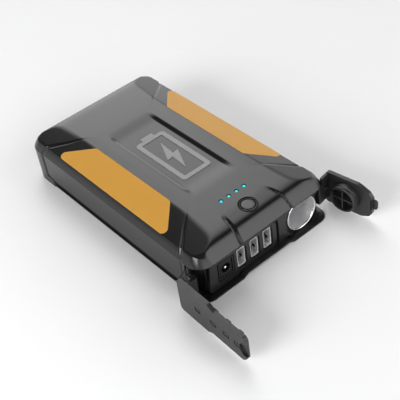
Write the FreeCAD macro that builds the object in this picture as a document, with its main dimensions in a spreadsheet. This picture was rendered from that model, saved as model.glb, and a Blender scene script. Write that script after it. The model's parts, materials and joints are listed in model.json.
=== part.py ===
import FreeCAD, Part
import os
import re
import Sketcher

# Jump starter pack with a rubber port flap and a rubber socket cap, both swung open.
# Millimetres. Origin at the centre of the underside, +Z up, the ports face -Y,
# +X points from the DC jack towards the accessory socket.

SIZES = {
    # casing
    "half_width": (50.0, "half of the width over the side walls"),
    "half_length": (86.4, "half of the length over the end walls"),
    "corner": (10.0, "plan radius of the four corners"),
    "wall": (2.2, "thickness of walls, roof and floor"),
    "seam": (6.5, "height of the joint between the two shells"),
    "side_inset": (1.5, "how far the lower shell is set back along the sides"),
    "foot_inset": (0.5, "how far its foot edge is set back there"),
    "foot_edge": (1.4, "height of that foot edge"),
    "side_inset_half": (64.0, "half of the length of that set-back"),
    "shoulder": (24.3, "top of the upright part of the side walls"),
    "end_shoulder": (26.0, "top of the upright part of the end walls"),
    "eave_x": (47.0, "half width where the side slopes begin"),
    "eave_z": (30.8, "height where the side slopes begin"),
    "ridge_x": (28.6, "half width where the side slopes end"),
    "ridge_z": (35.2, "height where the side slopes end"),
    "roof_z": (35.3, "height of the middle of the roof"),
    "hip_y": (46.7, "half length of the level part of the roof"),
    "brow_y": (77.0, "where the gently falling end of the roof stops"),
    "brow_z": (34.1, "height there"),
    "brow_low_y": (79.5, "end of the rounded brow"),
    "brow_low_z": (33.6, "height there"),
    "nose_y": (84.9, "foot of the end slope"),
    "nose_z": (28.5, "height there"),
    "rim": (1.2, "thickness of the locating rim inside the seam"),
    "rim_top": (8.5, "top of that rim"),
    "slack": (0.1, "gap of loosely fitted pieces of one assembly"),
    # roof details
    "panel_half": (14.7, "half width of the sunken middle panel's floor"),
    "panel_edge": (17.5, "half width of the sunken panel at its rim"),
    "panel_front": (-46.7, "front end of the sunken panel"),
    "panel_back": (41.9, "back end of the sunken panel"),
    "panel_sink": (1.15, "depth of the sunken panel"),
    "badge_thick": (0.3, "thickness of the pictogram on the panel"),
    "badge_half_x": (11.0, "half width of the pictogram"),
    "badge_half_y": (24.0, "half length of the pictogram"),
    "badge_y": (-5.0, "middle of the pictogram along the length"),
    "badge_line": (3.0, "line width of the pictogram"),
    "badge_corner": (2.5, "outer corner radius of the pictogram"),
    "badge_inner_corner": (1.0, "inner corner radius of the pictogram"),
    "badge_terminal": (4.5, "half width of the pictogram's terminal"),
    "bolt_tip_x": (2.2, "sideways offset of the bolt's two tips"),
    "bolt_tip_y": (15.0, "distance of the bolt's tips from its middle"),
    "bolt_wing_x": (5.5, "sideways reach of the bolt's wings"),
    "bolt_wing_y": (2.0, "distance of the wings from the middle"),
    "bolt_waist_x": (1.2, "half width of the bolt's waist"),
    "bolt_waist_y": (1.2, "distance of the waist's corners from the middle"),
    "inlay_outer_x": (46.7, "outer edge of the coloured inlays"),
    "inlay_outer_front": (-55.5, "front end of the outer edge"),
    "inlay_outer_back": (58.0, "back end of the outer edge"),
    "inlay_inner_front": (-37.5, "front end of the inner edge"),
    "inlay_inner_back": (35.6, "back end of the inner edge"),
    "inlay_corner": (2.7, "corner radius of the inlays"),
    "inlay_thick": (1.0, "thickness of the inlays"),
    "button_y": (-72.2, "button centre"),
    "button_radius": (4.3, "button cap radius"),
    "button_flange": (5.2, "radius of the button's retaining flange"),
    "button_foot": (31.9, "underside of the button"),
    "button_top": (34.4, "top of the button at rest"),
    "button_gap": (0.3, "gap around the button"),
    "bezel_radius": (5.9, "outer radius of the button bezel"),
    "bezel_foot": (32.7, "underside of the bezel"),
    "bezel_top": (34.6, "top of the bezel"),
    "led_y": (-59.3, "row of charge lights"),
    "led_pitch": (5.94, "spacing of the charge lights"),
    "led_radius": (1.0, "radius of a light lens"),
    "led_foot": (31.0, "underside of a lens"),
    "led_top": (34.9, "top of a lens"),
    # front end
    "port_z": (13.0, "height of all port centres"),
    "fascia_front": (-83.6, "front plane of the port fascia"),
    "fascia_back": (-81.6, "back plane of the port fascia"),
    "opening_top": (25.1, "underside of the brow over the ports"),
    "lip": (0.9, "thickness of the lip under the ports"),
    "lip_front": (-87.5, "front edge of that lip"),
    "step_left": (-21.0, "left foot of the raised middle of the lip"),
    "step_right": (20.0, "right foot of the raised middle of the lip"),
    "step_run": (4.0, "length of the slopes up to the raised middle"),
    "step": (2.0, "how far the middle of the lip is raised"),
    "step_depth": (-78.0, "back of the raised middle"),
    "well_x": (43.0, "inner side of the hinge wells"),
    "well_back": (-71.8, "back of the hinge wells"),
    "well_floor": (1.2, "floor of the hinge wells"),
    "well_wall": (1.1, "wall thickness of the hinge wells"),
    "well_end_gap": (0.9, "gap between a well's end wall and the upper shell"),
    "dc_x": (-29.6, "charging jack centre"),
    "dc_half_width": (4.9, "half width of the jack cut-out"),
    "dc_half_height": (5.6, "half height of the jack cut-out"),
    "dc_face": (-83.2, "front face of the jack"),
    "dc_back": (-70.0, "back of the jack body"),
    "dc_hole": (3.2, "radius of the jack hole"),
    "dc_hole_back": (-73.0, "bottom of the jack hole"),
    "dc_pin": (1.05, "radius of the jack's centre pin"),
    "dc_pin_front": (-82.4, "tip of the centre pin"),
    "usb_x": (-7.56, "centre of the middle USB port"),
    "usb_pitch": (10.16, "spacing of the USB ports"),
    "usb_half_width": (2.85, "half width of a USB shell"),
    "usb_half_height": (6.55, "half height of a USB shell"),
    "usb_wall": (0.35, "sheet thickness of a USB shell"),
    "usb_front": (-83.0, "mouth of a USB shell"),
    "usb_back": (-69.0, "back of a USB shell"),
    "usb_margin": (0.3, "gap between a USB shell and the fascia"),
    "tongue_half": (0.95, "half thickness of a contact tongue"),
    "tongue_shift": (-1.1, "offset of the tongue from the shell's middle"),
    "tongue_half_height": (5.5, "half height of a contact tongue"),
    "tongue_front": (-80.6, "tip of a contact tongue"),
    "socket_x": (30.8, "accessory socket centre"),
    "bore": (10.5, "bore radius of the accessory socket"),
    "ring": (11.7, "outer radius of the trim ring"),
    "ring_mouth": (11.1, "radius of the ring's flared mouth"),
    "ring_front": (-83.4, "front face of the trim ring"),
    "ring_back": (-82.6, "back face of the trim ring"),
    "barrel": (11.0, "outer radius of the socket barrel"),
    "barrel_back": (-48.2, "back end of the barrel"),
    "sleeve": (11.85, "outer radius of the socket housing"),
    "sleeve_front": (-81.5, "front end of the socket housing"),
    "sleeve_back": (-43.0, "back end of the socket housing"),
    "sleeve_bottom": (2.0, "thickness of its back wall"),
    "contact": (3.0, "radius of the socket's centre contact"),
    "contact_stem": (1.5, "radius of the contact's stem"),
    "contact_tip": (-47.5, "front of the contact's dome"),
    "contact_shoulder": (-46.6, "front of the contact's disc"),
    "contact_end": (-41.0, "back end of the contact's stem"),
    # hinges
    "flap_hinge_x": (48.9, "distance of the flap's hinge axis from the middle"),
    "flap_hinge_y": (-74.9, "flap's hinge axis along the length"),
    "cap_hinge_x": (48.8, "distance of the cap's hinge axis from the middle"),
    "cap_hinge_y": (-75.5, "cap's hinge axis along the length"),
    "flap_open": (91.5, "opening angle of the flap, degrees"),
    "cap_open": (98.5, "opening angle of the cap, degrees"),
    "pin": (0.75, "hinge pin radius"),
    "pin_foot": (0.6, "bottom of a hinge pin"),
    "pin_top": (24.4, "top of a hinge pin"),
    "pin_gap": (0.05, "running gap around a hinge pin"),
    "eye": (1.75, "outer radius of a hinge eye"),
    "arm_outer": (45.6, "outer side of a hinge arm, cover closed"),
    "arm_inner": (43.6, "inner side of a hinge arm, cover closed"),
    "arm_back": (1.4, "how far a hinge arm passes its axis"),
    "arm_reach": (1.6, "how far the web stands in front of the axis"),
    "arm_foot": (6.0, "underside of the hinge arms"),
    "flap_arm_top": (17.0, "top of the flap's arm"),
    "cap_arm_top": (20.0, "top of the cap's arm"),
    "post": (1.35, "radius of the posts that hold the pins"),
    "post_gap": (0.4, "end gap between a post and an eye"),
    # rubber covers, given for the closed position
    "cover_front": (-86.4, "outer face of both covers"),
    "cover_back": (-83.9, "inner face of both covers"),
    "cover_foot": (1.4, "lower edge of both covers"),
    "cover_top": (24.7, "upper edge of both covers"),
    "cover_hinge_end": (45.8, "hinge end of both covers"),
    "flap_tip": (10.8, "free end of the flap"),
    "flap_narrow_foot": (3.4, "lower edge of the flap's narrow end"),
    "flap_narrow_top": (22.4, "upper edge of the flap's narrow end"),
    "flap_step_start": (-21.2, "start of the lower slope to the narrow end"),
    "flap_step_end": (-17.0, "end of that slope"),
    "flap_slope_start": (-19.0, "start of the upper slope to the narrow end"),
    "flap_slope_end": (-14.2, "end of that slope"),
    "flap_end_corner": (3.0, "bevel of the flap's free end"),
    "nest_left": (7.6, "left end of the flap's hollow for the cap's tab"),
    "nest_half": (4.3, "half height of that hollow"),
    "nest_floor": (-84.9, "floor of that hollow"),
    "usb_plug_half_width": (1.9, "half width of a USB plug of the flap"),
    "usb_plug_half_height": (5.4, "half height of a USB plug"),
    "usb_plug_end": (-81.3, "end of a USB plug"),
    "dc_plug": (2.2, "outer radius of the flap's jack plug"),
    "dc_plug_hole": (1.45, "inner radius of that plug"),
    "dc_plug_end": (-82.5, "end of that plug"),
    "cap_end": (13.1, "blunt free end of the cap"),
    "cap_end_half": (6.2, "half height of that end"),
    "cap_bevel_x": (15.2, "middle of the cap's rounded end"),
    "cap_bevel_half": (9.4, "half height there"),
    "cap_round_x": (20.6, "start of the cap's rounded end"),
    "tab_end": (10.5, "free end of the cap's pull tab"),
    "tab_half": (3.4, "half height of the pull tab"),
    "tab_back": (-85.2, "inner face of the pull tab"),
    "plug": (9.4, "outer radius of the cap's plug at its root"),
    "plug_tip": (8.7, "outer radius of the plug at its end"),
    "plug_wall": (1.3, "wall of the plug"),
    "plug_end": (-78.3, "end of the plug"),
    "plug_swing": (12.0, "radius around the cap's hinge axis that the plug stays clear of"),
    "plug_rib": (0.45, "half thickness of the plug's cross ribs"),
    # fixings
    "screw_x": (45.3, "case screws from the middle"),
    "screw_y": (64.0, "case screws along the length, front and back"),
    "screw_boss": (2.35, "radius of the screw bosses"),
    "screw_boss_top": (29.0, "top of the screw bosses"),
    "screw_hole": (1.25, "radius of the screw holes"),
    "screw_shank": (1.2, "radius of the screw shanks"),
    "screw_head": (2.1, "radius of the screw heads"),
    "screw_head_foot": (0.3, "underside of the case screw heads"),
    "screw_head_top": (1.3, "seat of the case screw heads"),
    "screw_tip": (13.0, "tip of the case screws"),
    # electronics
    "board_left": (-40.5, "left edge of the main board"),
    "board_right": (17.5, "right edge of the main board"),
    "board_front": (-81.0, "front edge of the main board"),
    "board_back": (-41.5, "back edge of the main board"),
    "board_foot": (4.6, "underside of the main board"),
    "board_top": (6.2, "upper side of the main board"),
    "board_screw_left": (-37.5, "left screws of the main board"),
    "board_screw_right": (14.5, "right screws of the main board"),
    "board_screw_front": (-63.0, "front screws of the main board"),
    "board_screw_back": (-45.0, "back screws of the main board"),
    "board_post": (2.3, "radius of the posts under the main board"),
    "board_head_top": (7.4, "top of the board screw heads"),
    "board_screw_foot": (1.6, "tip of the board screws"),
    "inductor_x": (-15.5, "power inductor centre"),
    "inductor_y": (-55.5, "power inductor centre along the length"),
    "inductor_half": (6.5, "half width of the power inductor"),
    "inductor_height": (7.0, "height of the power inductor"),
    "can_x": (3.5, "middle of the two filter capacitors"),
    "can_y": (-60.0, "filter capacitors along the length"),
    "can_spread": (4.5, "distance of each capacitor from their middle"),
    "can_radius": (4.0, "filter capacitor radius"),
    "can_height": (14.0, "filter capacitor height"),
    "transistor_x": (-1.5, "centre of the first power transistor"),
    "transistor_pitch": (6.0, "spacing of the power transistors"),
    "transistor_y": (-50.5, "power transistors along the length"),
    "transistor_half_x": (2.5, "half width of a power transistor"),
    "transistor_half_y": (3.0, "half length of a power transistor"),
    "transistor_height": (1.0, "height of a power transistor"),
    "spreader_end": (0.5, "how far the heat spreader passes the outer transistors"),
    "spreader_half": (2.5, "half width of the heat spreader"),
    "spreader_thick": (2.0, "thickness of the heat spreader"),
    "strip_half": (3.0, "half width of the copper strips"),
    "strip_thick": (0.8, "thickness of the flat copper strip"),
    "negative_x": (-17.0, "middle of the negative strip"),
    "panel_board_half": (12.5, "half width of the button board"),
    "panel_board_front": (-78.5, "front edge of the button board"),
    "panel_board_back": (-55.0, "back edge of the button board"),
    "panel_board_foot": (27.4, "underside of the button board"),
    "panel_board_top": (28.6, "upper side of the button board"),
    "switch_half": (3.0, "half width of the push switch"),
    "switch_top": (31.0, "top of the push switch"),
    "switch_well": (29.6, "bottom of the switch's plunger hole"),
    "plunger": (1.7, "plunger radius"),
    "plunger_foot": (30.2, "bottom of the plunger at rest"),
    "chip_half": (0.8, "half size of a light chip"),
    "chip_top": (29.5, "top of a light chip"),
    # battery
    "cell_half": (40.5, "half width of a battery cell"),
    "cell_front": (-37.0, "front end of the cells"),
    "cell_back": (75.0, "back end of the cells"),
    "cell_foot": (3.2, "underside of the lowest cell"),
    "cell_thick": (7.4, "thickness of a cell"),
    "cell_round": (2.0, "radius of a cell's upright edges"),
    "foam": (0.8, "thickness of the foam between the cells"),
    "foam_inset": (4.0, "how far the foam stays inside the cells"),
    "tray_half": (42.4, "half width of the battery tray"),
    "tray_front": (-37.6, "front end of the battery tray"),
    "tray_back": (76.9, "back end of the battery tray"),
    "tray_wall": (1.4, "wall thickness of the tray"),
    "tray_top": (16.0, "top of the tray"),
    "guard_half": (38.0, "half width of the protection board"),
    "guard_front": (-39.6, "front side of the protection board"),
    "guard_back": (-38.2, "back side of the protection board"),
    "guard_foot": (3.4, "lower edge of the protection board"),
    "guard_top": (26.5, "upper edge of the protection board"),
    "tab_x": (20.0, "cell tabs from the middle"),
    "tab_half_width": (4.0, "half width of a cell tab"),
    "tab_thick": (0.3, "thickness of a cell tab"),
}

doc = FreeCAD.newDocument("jump_starter_pack")
sheet = doc.addObject("Spreadsheet::Sheet", "sizes")
for row, (alias, (number, meaning)) in enumerate(SIZES.items(), 1):
    sheet.set(f"A{row}", meaning)
    sheet.set(f"B{row}", str(number))
    sheet.setAlias(f"B{row}", alias)
doc.recompute()

NODES = []


# ---------------------------------------------------------------- helpers

def expression(text):
    """Turn sheet words into cell references that FreeCAD understands."""
    def cell(match):
        word = match.group(0)
        return f"sizes.{word}" if word in SIZES else word
    return re.sub(r"[a-z][a-z_]*", cell, str(text))


def number(text):
    return float(sheet.evalExpression(expression(text)))


def bind(item, prop, text):
    item.setExpression(prop, expression(text))


def place(item, x, y, z):
    bind(item, "Placement.Base.x", x)
    bind(item, "Placement.Base.y", y)
    bind(item, "Placement.Base.z", z)


def block(name, x, y, z):
    """Box between (low, high) pairs along each axis."""
    item = doc.addObject("Part::Box", name)
    for prop, (low, high) in zip(("Length", "Width", "Height"), (x, y, z)):
        bind(item, prop, f"({high}) - ({low})")
    place(item, x[0], y[0], z[0])
    return item


def rod(name, axis, centre, span, radius):
    """Cylinder along Y or Z; centre is (x, z) or (x, y)."""
    item = doc.addObject("Part::Cylinder", name)
    bind(item, "Radius", radius)
    bind(item, "Height", f"({span[1]}) - ({span[0]})")
    if axis == "Y":
        item.Placement.Rotation = FreeCAD.Rotation(FreeCAD.Vector(1, 0, 0), -90)
        place(item, centre[0], span[0], centre[1])
    else:
        place(item, centre[0], centre[1], span[0])
    return item


def cone(name, centre, span, start_radius, end_radius):
    """Cone along +Y; centre is (x, z)."""
    item = doc.addObject("Part::Cone", name)
    bind(item, "Radius1", start_radius)
    bind(item, "Radius2", end_radius)
    bind(item, "Height", f"({span[1]}) - ({span[0]})")
    item.Placement.Rotation = FreeCAD.Rotation(FreeCAD.Vector(1, 0, 0), -90)
    place(item, centre[0], span[0], centre[1])
    return item


def prism(name, plane, points, span, rounds=None, radius=None):
    """Body padded from a polygon whose corners are all bound to the sheet."""
    body = doc.addObject("PartDesign::Body", name)
    sketch = body.newObject("Sketcher::SketchObject", f"{name}_outline")
    support = next(f for f in body.Origin.OriginFeatures if f.Role == plane)
    sketch.AttachmentSupport = [(support, "")]
    sketch.MapMode = "FlatFace"
    corners = [FreeCAD.Vector(number(u), number(v), 0) for u, v in points]
    count = len(corners)
    for index in range(count):
        line = Part.LineSegment(corners[index], corners[(index + 1) % count])
        sketch.addGeometry(line)
    for index in range(count):
        after = (index + 1) % count
        sketch.addConstraint(Sketcher.Constraint("Coincident", index, 2, after, 1))
    for index, (u, v) in enumerate(points):
        for kind, text, value in (("DistanceX", u, corners[index].x),
                                  ("DistanceY", v, corners[index].y)):
            rule = Sketcher.Constraint(kind, -1, 1, index, 1, value)
            bind(sketch, f"Constraints[{sketch.addConstraint(rule)}]", text)
    # The XZ plane's normal is -Y, so its sketch starts at the high end.
    start = f"-({span[1]})" if plane == "XZ_Plane" else span[0]
    bind(sketch, "AttachmentOffset.Base.z", start)
    pad = body.newObject("PartDesign::Pad", f"{name}_pad")
    pad.Profile = sketch
    bind(pad, "Length", f"({span[1]}) - ({span[0]})")
    doc.recompute()
    if rounds:
        edges = [f"Edge{i + 1}" for i, e in enumerate(pad.Shape.Edges) if rounds(e)]
        fillet = body.newObject("PartDesign::Fillet", f"{name}_rounds")
        fillet.Base = (pad, edges)
        bind(fillet, "Radius", radius)
        body.Tip = fillet
        doc.recompute()
    return body


def fuse(name, *shapes):
    item = doc.addObject("Part::MultiFuse", name)
    item.Shapes = list(shapes)
    return item


def common(name, *shapes):
    item = doc.addObject("Part::MultiCommon", name)
    item.Shapes = list(shapes)
    return item


def cut(name, base, *tools):
    item = doc.addObject("Part::Cut", name)
    item.Base = base
    item.Tool = tools[0] if len(tools) == 1 else fuse(f"{name}_tools", *tools)
    return item


def group(name, *shapes):
    item = doc.addObject("Part::Compound", name)
    item.Links = list(shapes)
    return item


def node(item, label):
    """Mark an object as a finished sub-part of the assembly."""
    item.Label = label
    NODES.append(item)
    return item


def upright(edge):
    direction = edge.tangentAt(edge.FirstParameter)
    return abs(direction.z) > 0.99


def hinge_place(side):
    """Words for a hinge axis: the flap's on the left, the cap's on the right."""
    cover = "flap" if side < 0 else "cap"
    return (f"{side} * {cover}_hinge_x", f"{cover}_hinge_y")


def swung(name, closed, side):
    """Turn a closed cover about its hinge to the open rest place."""
    hinge = FreeCAD.Vector(*[number(text) for text in hinge_place(side)], 0)
    angle = number("flap_open" if side < 0 else "cap_open")
    turn = FreeCAD.Rotation(FreeCAD.Vector(0, 0, 1), side * angle)
    item = doc.addObject("Part::Compound", name)
    item.Links = [closed]
    item.Placement = FreeCAD.Placement(hinge, turn)
    return item


# ---------------------------------------------------------------- casing

def rectangle(half_x, half_y):
    return [(f"-({half_x})", f"-({half_y})"), (half_x, f"-({half_y})"),
            (half_x, half_y), (f"-({half_x})", half_y)]


def plan(name, inset, span):
    """Rounded rectangle of the casing's outline, set in by a distance."""
    outline = rectangle(f"half_width - ({inset})", f"half_length - ({inset})")
    return prism(name, "XY_Plane", outline, span, upright, f"corner - ({inset})")


def envelope(name, inset, foot):
    """Casing form: the plan outline under a roof that falls to all four sides."""
    half = [(f"half_width - {inset}", foot),
            (f"half_width - {inset}", f"shoulder - {inset} / 2"),
            (f"eave_x - {inset} / 2", f"eave_z - {inset}"),
            ("ridge_x", f"ridge_z - {inset}"),
            ("panel_edge", f"roof_z - {inset}")]
    across = half + [(f"-({x})", z) for x, z in reversed(half)]
    end = [(f"half_length - {inset}", foot),
           (f"half_length - {inset}", f"end_shoulder - {inset} / 2"),
           (f"nose_y - {inset} * 0.8", f"nose_z - {inset} * 0.6"),
           (f"brow_low_y - {inset} / 2", f"brow_low_z - {inset}"),
           ("brow_y", f"brow_z - {inset}"),
           ("hip_y", f"roof_z - {inset}")]
    along = end + [(f"-({y})", z) for y, z in reversed(end)]
    return common(name,
                  plan(f"{name}_plan", inset, (foot, "roof_z + 1")),
                  prism(f"{name}_across", "XZ_Plane", across,
                        ("-half_length - 1", "half_length + 1")),
                  prism(f"{name}_along", "YZ_Plane", along,
                        ("-half_width - 1", "half_width + 1")))


def inlay(name, side):
    """Coloured trapezoid, flush in the side slope of the roof."""
    fall = "(ridge_z - eave_z) / (eave_x - ridge_x)"
    over = "1.0"
    high = f"ridge_z + {over} * {fall}"
    low = f"eave_z - {over} * {fall}"
    band = prism(f"{name}_band", "XZ_Plane",
                 [(f"{side} * (ridge_x - {over})", high),
                  (f"{side} * (eave_x + {over})", low),
                  (f"{side} * (eave_x + {over})", f"{low} - inlay_thick"),
                  (f"{side} * (ridge_x - {over})", f"{high} - inlay_thick")],
                 ("inlay_outer_front - 1", "inlay_outer_back + 1"))
    shape = prism(f"{name}_shape", "XY_Plane",
                  [(f"{side} * inlay_outer_x", "inlay_outer_front"),
                   (f"{side} * ridge_x", "inlay_inner_front"),
                   (f"{side} * ridge_x", "inlay_inner_back"),
                   (f"{side} * inlay_outer_x", "inlay_outer_back")],
                  ("eave_z - 5", "roof_z + 1"), upright, "inlay_corner")
    return node(common(name, band, shape), name)


def screw_places():
    return [(f"{sx} * screw_x", f"{sy} * screw_y") for sx in (-1, 1) for sy in (-1, 1)]


def well(name, side, foot, top):
    """Corner space that a hinge arm swings in."""
    ends = sorted(("well_x", "half_width + 1"), key=number)
    x = ends if side > 0 else [f"-({ends[1]})", f"-({ends[0]})"]
    return block(name, x, ("-half_length - 1", "well_back"), (foot, top))


def badge(name, foot, top):
    """Generic battery pictogram: a frame with a terminal and a bolt inside."""
    def about(points):
        return [(x, f"badge_y + ({y})") for x, y in points]

    outer = prism(f"{name}_outer", "XY_Plane",
                  about(rectangle("badge_half_x", "badge_half_y")),
                  (foot, top), upright, "badge_corner")
    inner = prism(f"{name}_inner", "XY_Plane",
                  about(rectangle("badge_half_x - badge_line", "badge_half_y - badge_line")),
                  (foot, top), upright, "badge_inner_corner")
    terminal = block(f"{name}_terminal", ("-badge_terminal", "badge_terminal"),
                     ("badge_y + badge_half_y - badge_line / 2",
                      "badge_y + badge_half_y + badge_line"), (foot, top))
    # One wing, the waist and the tip; the other half is the same turned half round.
    half = [("bolt_wing_x", "bolt_wing_y"), ("bolt_waist_x", "bolt_waist_y"),
            ("bolt_tip_x", "bolt_tip_y")]
    bolt = prism(f"{name}_bolt", "XY_Plane",
                 about(half + [(f"-{x}", f"-{y}") for x, y in half]), (foot, top))
    return fuse(name, cut(f"{name}_frame", outer, inner), terminal, bolt)


def top_shell():
    body = envelope("top_outer", "0", "seam")
    hollow = envelope("top_hollow", "wall", "seam - 1")
    front = block("front_opening", ("-half_width - 1", "half_width + 1"),
                  ("-half_length - 1", "fascia_back"), ("seam - 1", "opening_top"))
    wells = [well(f"top_well_{tag}", side, "seam - 1", "opening_top - 0.3")
             for tag, side in (("left", -1), ("right", 1))]
    header = block("header", ("-well_x", "well_x"), ("-half_length + wall - 0.5", "fascia_back"),
                   ("opening_top", "opening_top + 2.4"))
    posts = []
    for tag, side, arm_top in (("left", -1, "flap_arm_top"), ("right", 1, "cap_arm_top")):
        posts.append(rod(f"upper_post_{tag}", "Z", hinge_place(side),
                         (f"{arm_top} + post_gap", "eave_z - 1"), "post"))
    bosses = [rod(f"boss_{i}", "Z", at, ("wall + slack", "screw_boss_top"), "screw_boss")
              for i, at in enumerate(screw_places())]
    hangers = [rod(f"hanger_{i}", "Z", (x, "panel_board_back - 8"),
                   ("panel_board_top", "roof_z - 1.5"), "1.6")
               for i, x in enumerate(("panel_board_half - 2.5", "2.5 - panel_board_half"))]
    shell = cut("top_walls", body, hollow, front, *wells)
    # Everything fused to the walls is trimmed to the outer form again.
    trim = envelope("top_trim", "0", "wall")
    inside = common("top_inside", fuse("top_ribs", header, *posts, *bosses, *hangers), trim)
    panel = prism("panel_sink_tool", "XZ_Plane",
                  [("-panel_half", "roof_z - panel_sink"), ("panel_half", "roof_z - panel_sink"),
                   ("panel_edge", "roof_z"), ("panel_edge", "roof_z + 1"),
                   ("-panel_edge", "roof_z + 1"), ("-panel_edge", "roof_z")],
                  ("panel_front", "panel_back"))
    holes = [rod("bezel_hole", "Z", ("0", "button_y"), ("bezel_foot - 1.5", "roof_z + 1"),
                 "bezel_radius")]
    holes += [rod(f"led_hole_{i}", "Z", (f"({i} - 1.5) * led_pitch", "led_y"),
                  ("led_foot - 1", "roof_z + 1"), "led_radius + slack / 2") for i in range(4)]
    holes += [rod(f"screw_pilot_{i}", "Z", at, ("wall", "screw_tip + 1"), "screw_hole")
              for i, at in enumerate(screw_places())]
    holes += [rod(f"upper_pin_hole_{tag}", "Z", hinge_place(side), ("seam", "pin_top"), "pin")
              for tag, side in (("left", -1), ("right", 1))]
    inlays = [inlay("left_inlay", -1), inlay("right_inlay", 1)]
    whole = fuse("top_whole", shell, inside)
    return node(cut("top_shell", whole, panel, *holes, *inlays), "top_shell")


def bottom_shell():
    slab = plan("bottom_slab", "0", ("0", "seam"))
    hollow = plan("bottom_hollow", "wall", ("wall", "seam + 1"))
    insets = []
    for tag, inset, span in (("wall", "side_inset", ("foot_edge", "seam + 1")),
                             ("foot", "foot_inset", ("-1", "foot_edge"))):
        for i, x in enumerate(((f"half_width - {inset}", "half_width + 1"),
                               ("-half_width - 1", f"{inset} - half_width"))):
            insets.append(block(f"{tag}_inset_{i}", x, ("-side_inset_half", "side_inset_half"), span))
    rim_outer = plan("rim_outer", "wall + slack", ("wall - 0.5", "rim_top"))
    rim_inner = plan("rim_inner", "wall + slack + rim", ("wall - 1", "rim_top + 1"))
    rim = cut("rim_ring", rim_outer, rim_inner,
              *[rod(f"rim_gap_{i}", "Z", at, ("wall", "rim_top + 1"), "screw_boss + 0.2")
                for i, at in enumerate(screw_places())])
    tray = fuse("bottom_tray", cut("bottom_hollowed", slab, hollow, *insets), rim)
    front = block("bottom_front_opening", ("-half_width - 1", "half_width + 1"),
                  ("-half_length - 1", "fascia_back"), ("lip", "rim_top + 1"))
    wells = [well(f"bottom_well_{tag}", side, "well_floor", "rim_top + 1")
             for tag, side in (("left", -1), ("right", 1))]
    raised = block("raised_floor", ("step_left - 1.5", "step_right + 1.5"),
                   ("fascia_back", "step_depth"), ("0", "step + 1.4"))
    slope = [("step_right", "0"), ("step_right - step_run", "step"),
             ("step_left + step_run", "step"), ("step_left", "0")]
    raised_lip = prism("raised_lip", "XZ_Plane",
                       [("step_left", "lip"), ("step_left + step_run", "step + lip"),
                        ("step_right - step_run", "step + lip"), ("step_right", "lip")] + slope,
                       ("lip_front", "fascia_back + 0.1"))
    # The thin lip stands a little in front of the closed covers.
    shelf = prism("lip_shelf", "XY_Plane",
                  [("-half_width", "lip_front"), ("half_width", "lip_front"),
                   ("half_width", "well_back"), ("-half_width", "well_back")], ("0", "lip"),
                  lambda edge: upright(edge) and edge.BoundBox.YMin < number("fascia_front"),
                  "corner")
    notch = prism("lip_notch", "XZ_Plane", slope + [("step_left", "-1"), ("step_right", "-1")],
                  ("lip_front - 1", "fascia_back"))
    walls = []
    for tag, side in (("left", -1), ("right", 1)):
        near = ("well_x - well_wall", "well_x")
        across = ("well_x - well_wall", "half_width - wall - well_end_gap")
        if side < 0:
            near = tuple(f"-({x})" for x in reversed(near))
            across = tuple(f"-({x})" for x in reversed(across))
        walls.append(block(f"well_side_{tag}", near, ("fascia_back", "well_back + well_wall"),
                           ("lip", "opening_top - 0.4")))
        walls.append(block(f"well_end_{tag}", across, ("well_back", "well_back + well_wall"),
                           ("lip", "opening_top - 0.4")))
        walls.append(rod(f"lower_post_{tag}", "Z", hinge_place(side),
                         ("0.2", "arm_foot - post_gap"), "post"))
    posts = [rod(f"board_post_{i}{j}", "Z", (x, y), ("wall - 0.5", "board_foot"), "board_post")
             for i, x in enumerate(("board_screw_left", "board_screw_right"))
             for j, y in enumerate(("board_screw_front", "board_screw_back"))]
    tools = [rod("socket_trough", "Y", ("socket_x", "port_z"),
                 ("fascia_front", "sleeve_back + 0.2"), "sleeve + 0.05")]
    for i, at in enumerate(screw_places()):
        tools.append(rod(f"bottom_screw_hole_{i}", "Z", at, ("-1", "wall + 1"), "screw_hole"))
        tools.append(rod(f"counterbore_{i}", "Z", at, ("-1", "screw_head_top"), "screw_head + 0.2"))
    for tag, side in (("left", -1), ("right", 1)):
        tools.append(rod(f"lower_pin_hole_{tag}", "Z", hinge_place(side), ("pin_foot", "seam"), "pin"))
    for i, x in enumerate(("board_screw_left", "board_screw_right")):
        for j, y in enumerate(("board_screw_front", "board_screw_back")):
            tools.append(rod(f"board_pilot_{i}{j}", "Z", (x, y), ("board_screw_foot - 0.4", "board_top"),
                             "screw_hole"))
    opened = cut("bottom_opened", tray, front, *wells)
    trim = plan("bottom_trim", "0", ("0", "opening_top"))
    inside = common("bottom_inside", fuse("bottom_ribs", raised, *walls, *posts), trim)
    whole = fuse("bottom_whole", opened, shelf, raised_lip, inside)
    return node(cut("bottom_shell", whole, notch, *tools), "bottom_shell")


def fascia():
    plate = block("fascia_plate", ("-well_x", "well_x - slack"),
                  ("fascia_front", "fascia_back"), ("lip", "opening_top"))
    tools = [block("fascia_step", ("step_left - 0.4", "step_right + 0.4"),
                   ("fascia_front - 1", "fascia_back + 1"), ("0", "step + lip + 0.05")),
             block("dc_window", ("dc_x - dc_half_width", "dc_x + dc_half_width"),
                   ("fascia_front - 1", "fascia_back + 1"),
                   ("port_z - dc_half_height", "port_z + dc_half_height")),
             rod("socket_window", "Y", ("socket_x", "port_z"),
                 ("fascia_front - 1", "fascia_back + 1"), "ring + 0.05")]
    for i in range(3):
        x = f"usb_x + ({i} - 1) * usb_pitch"
        half_x = "usb_half_width + usb_margin"
        half_z = "usb_half_height + usb_margin"
        tools.append(block(f"usb_window_{i}", (f"{x} - ({half_x})", f"{x} + {half_x}"),
                           ("fascia_front - 1", "fascia_back + 1"),
                           (f"port_z - ({half_z})", f"port_z + {half_z}")))
    return node(cut("port_fascia", plate, *tools), "port_fascia")


# ---------------------------------------------------------------- controls

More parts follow.
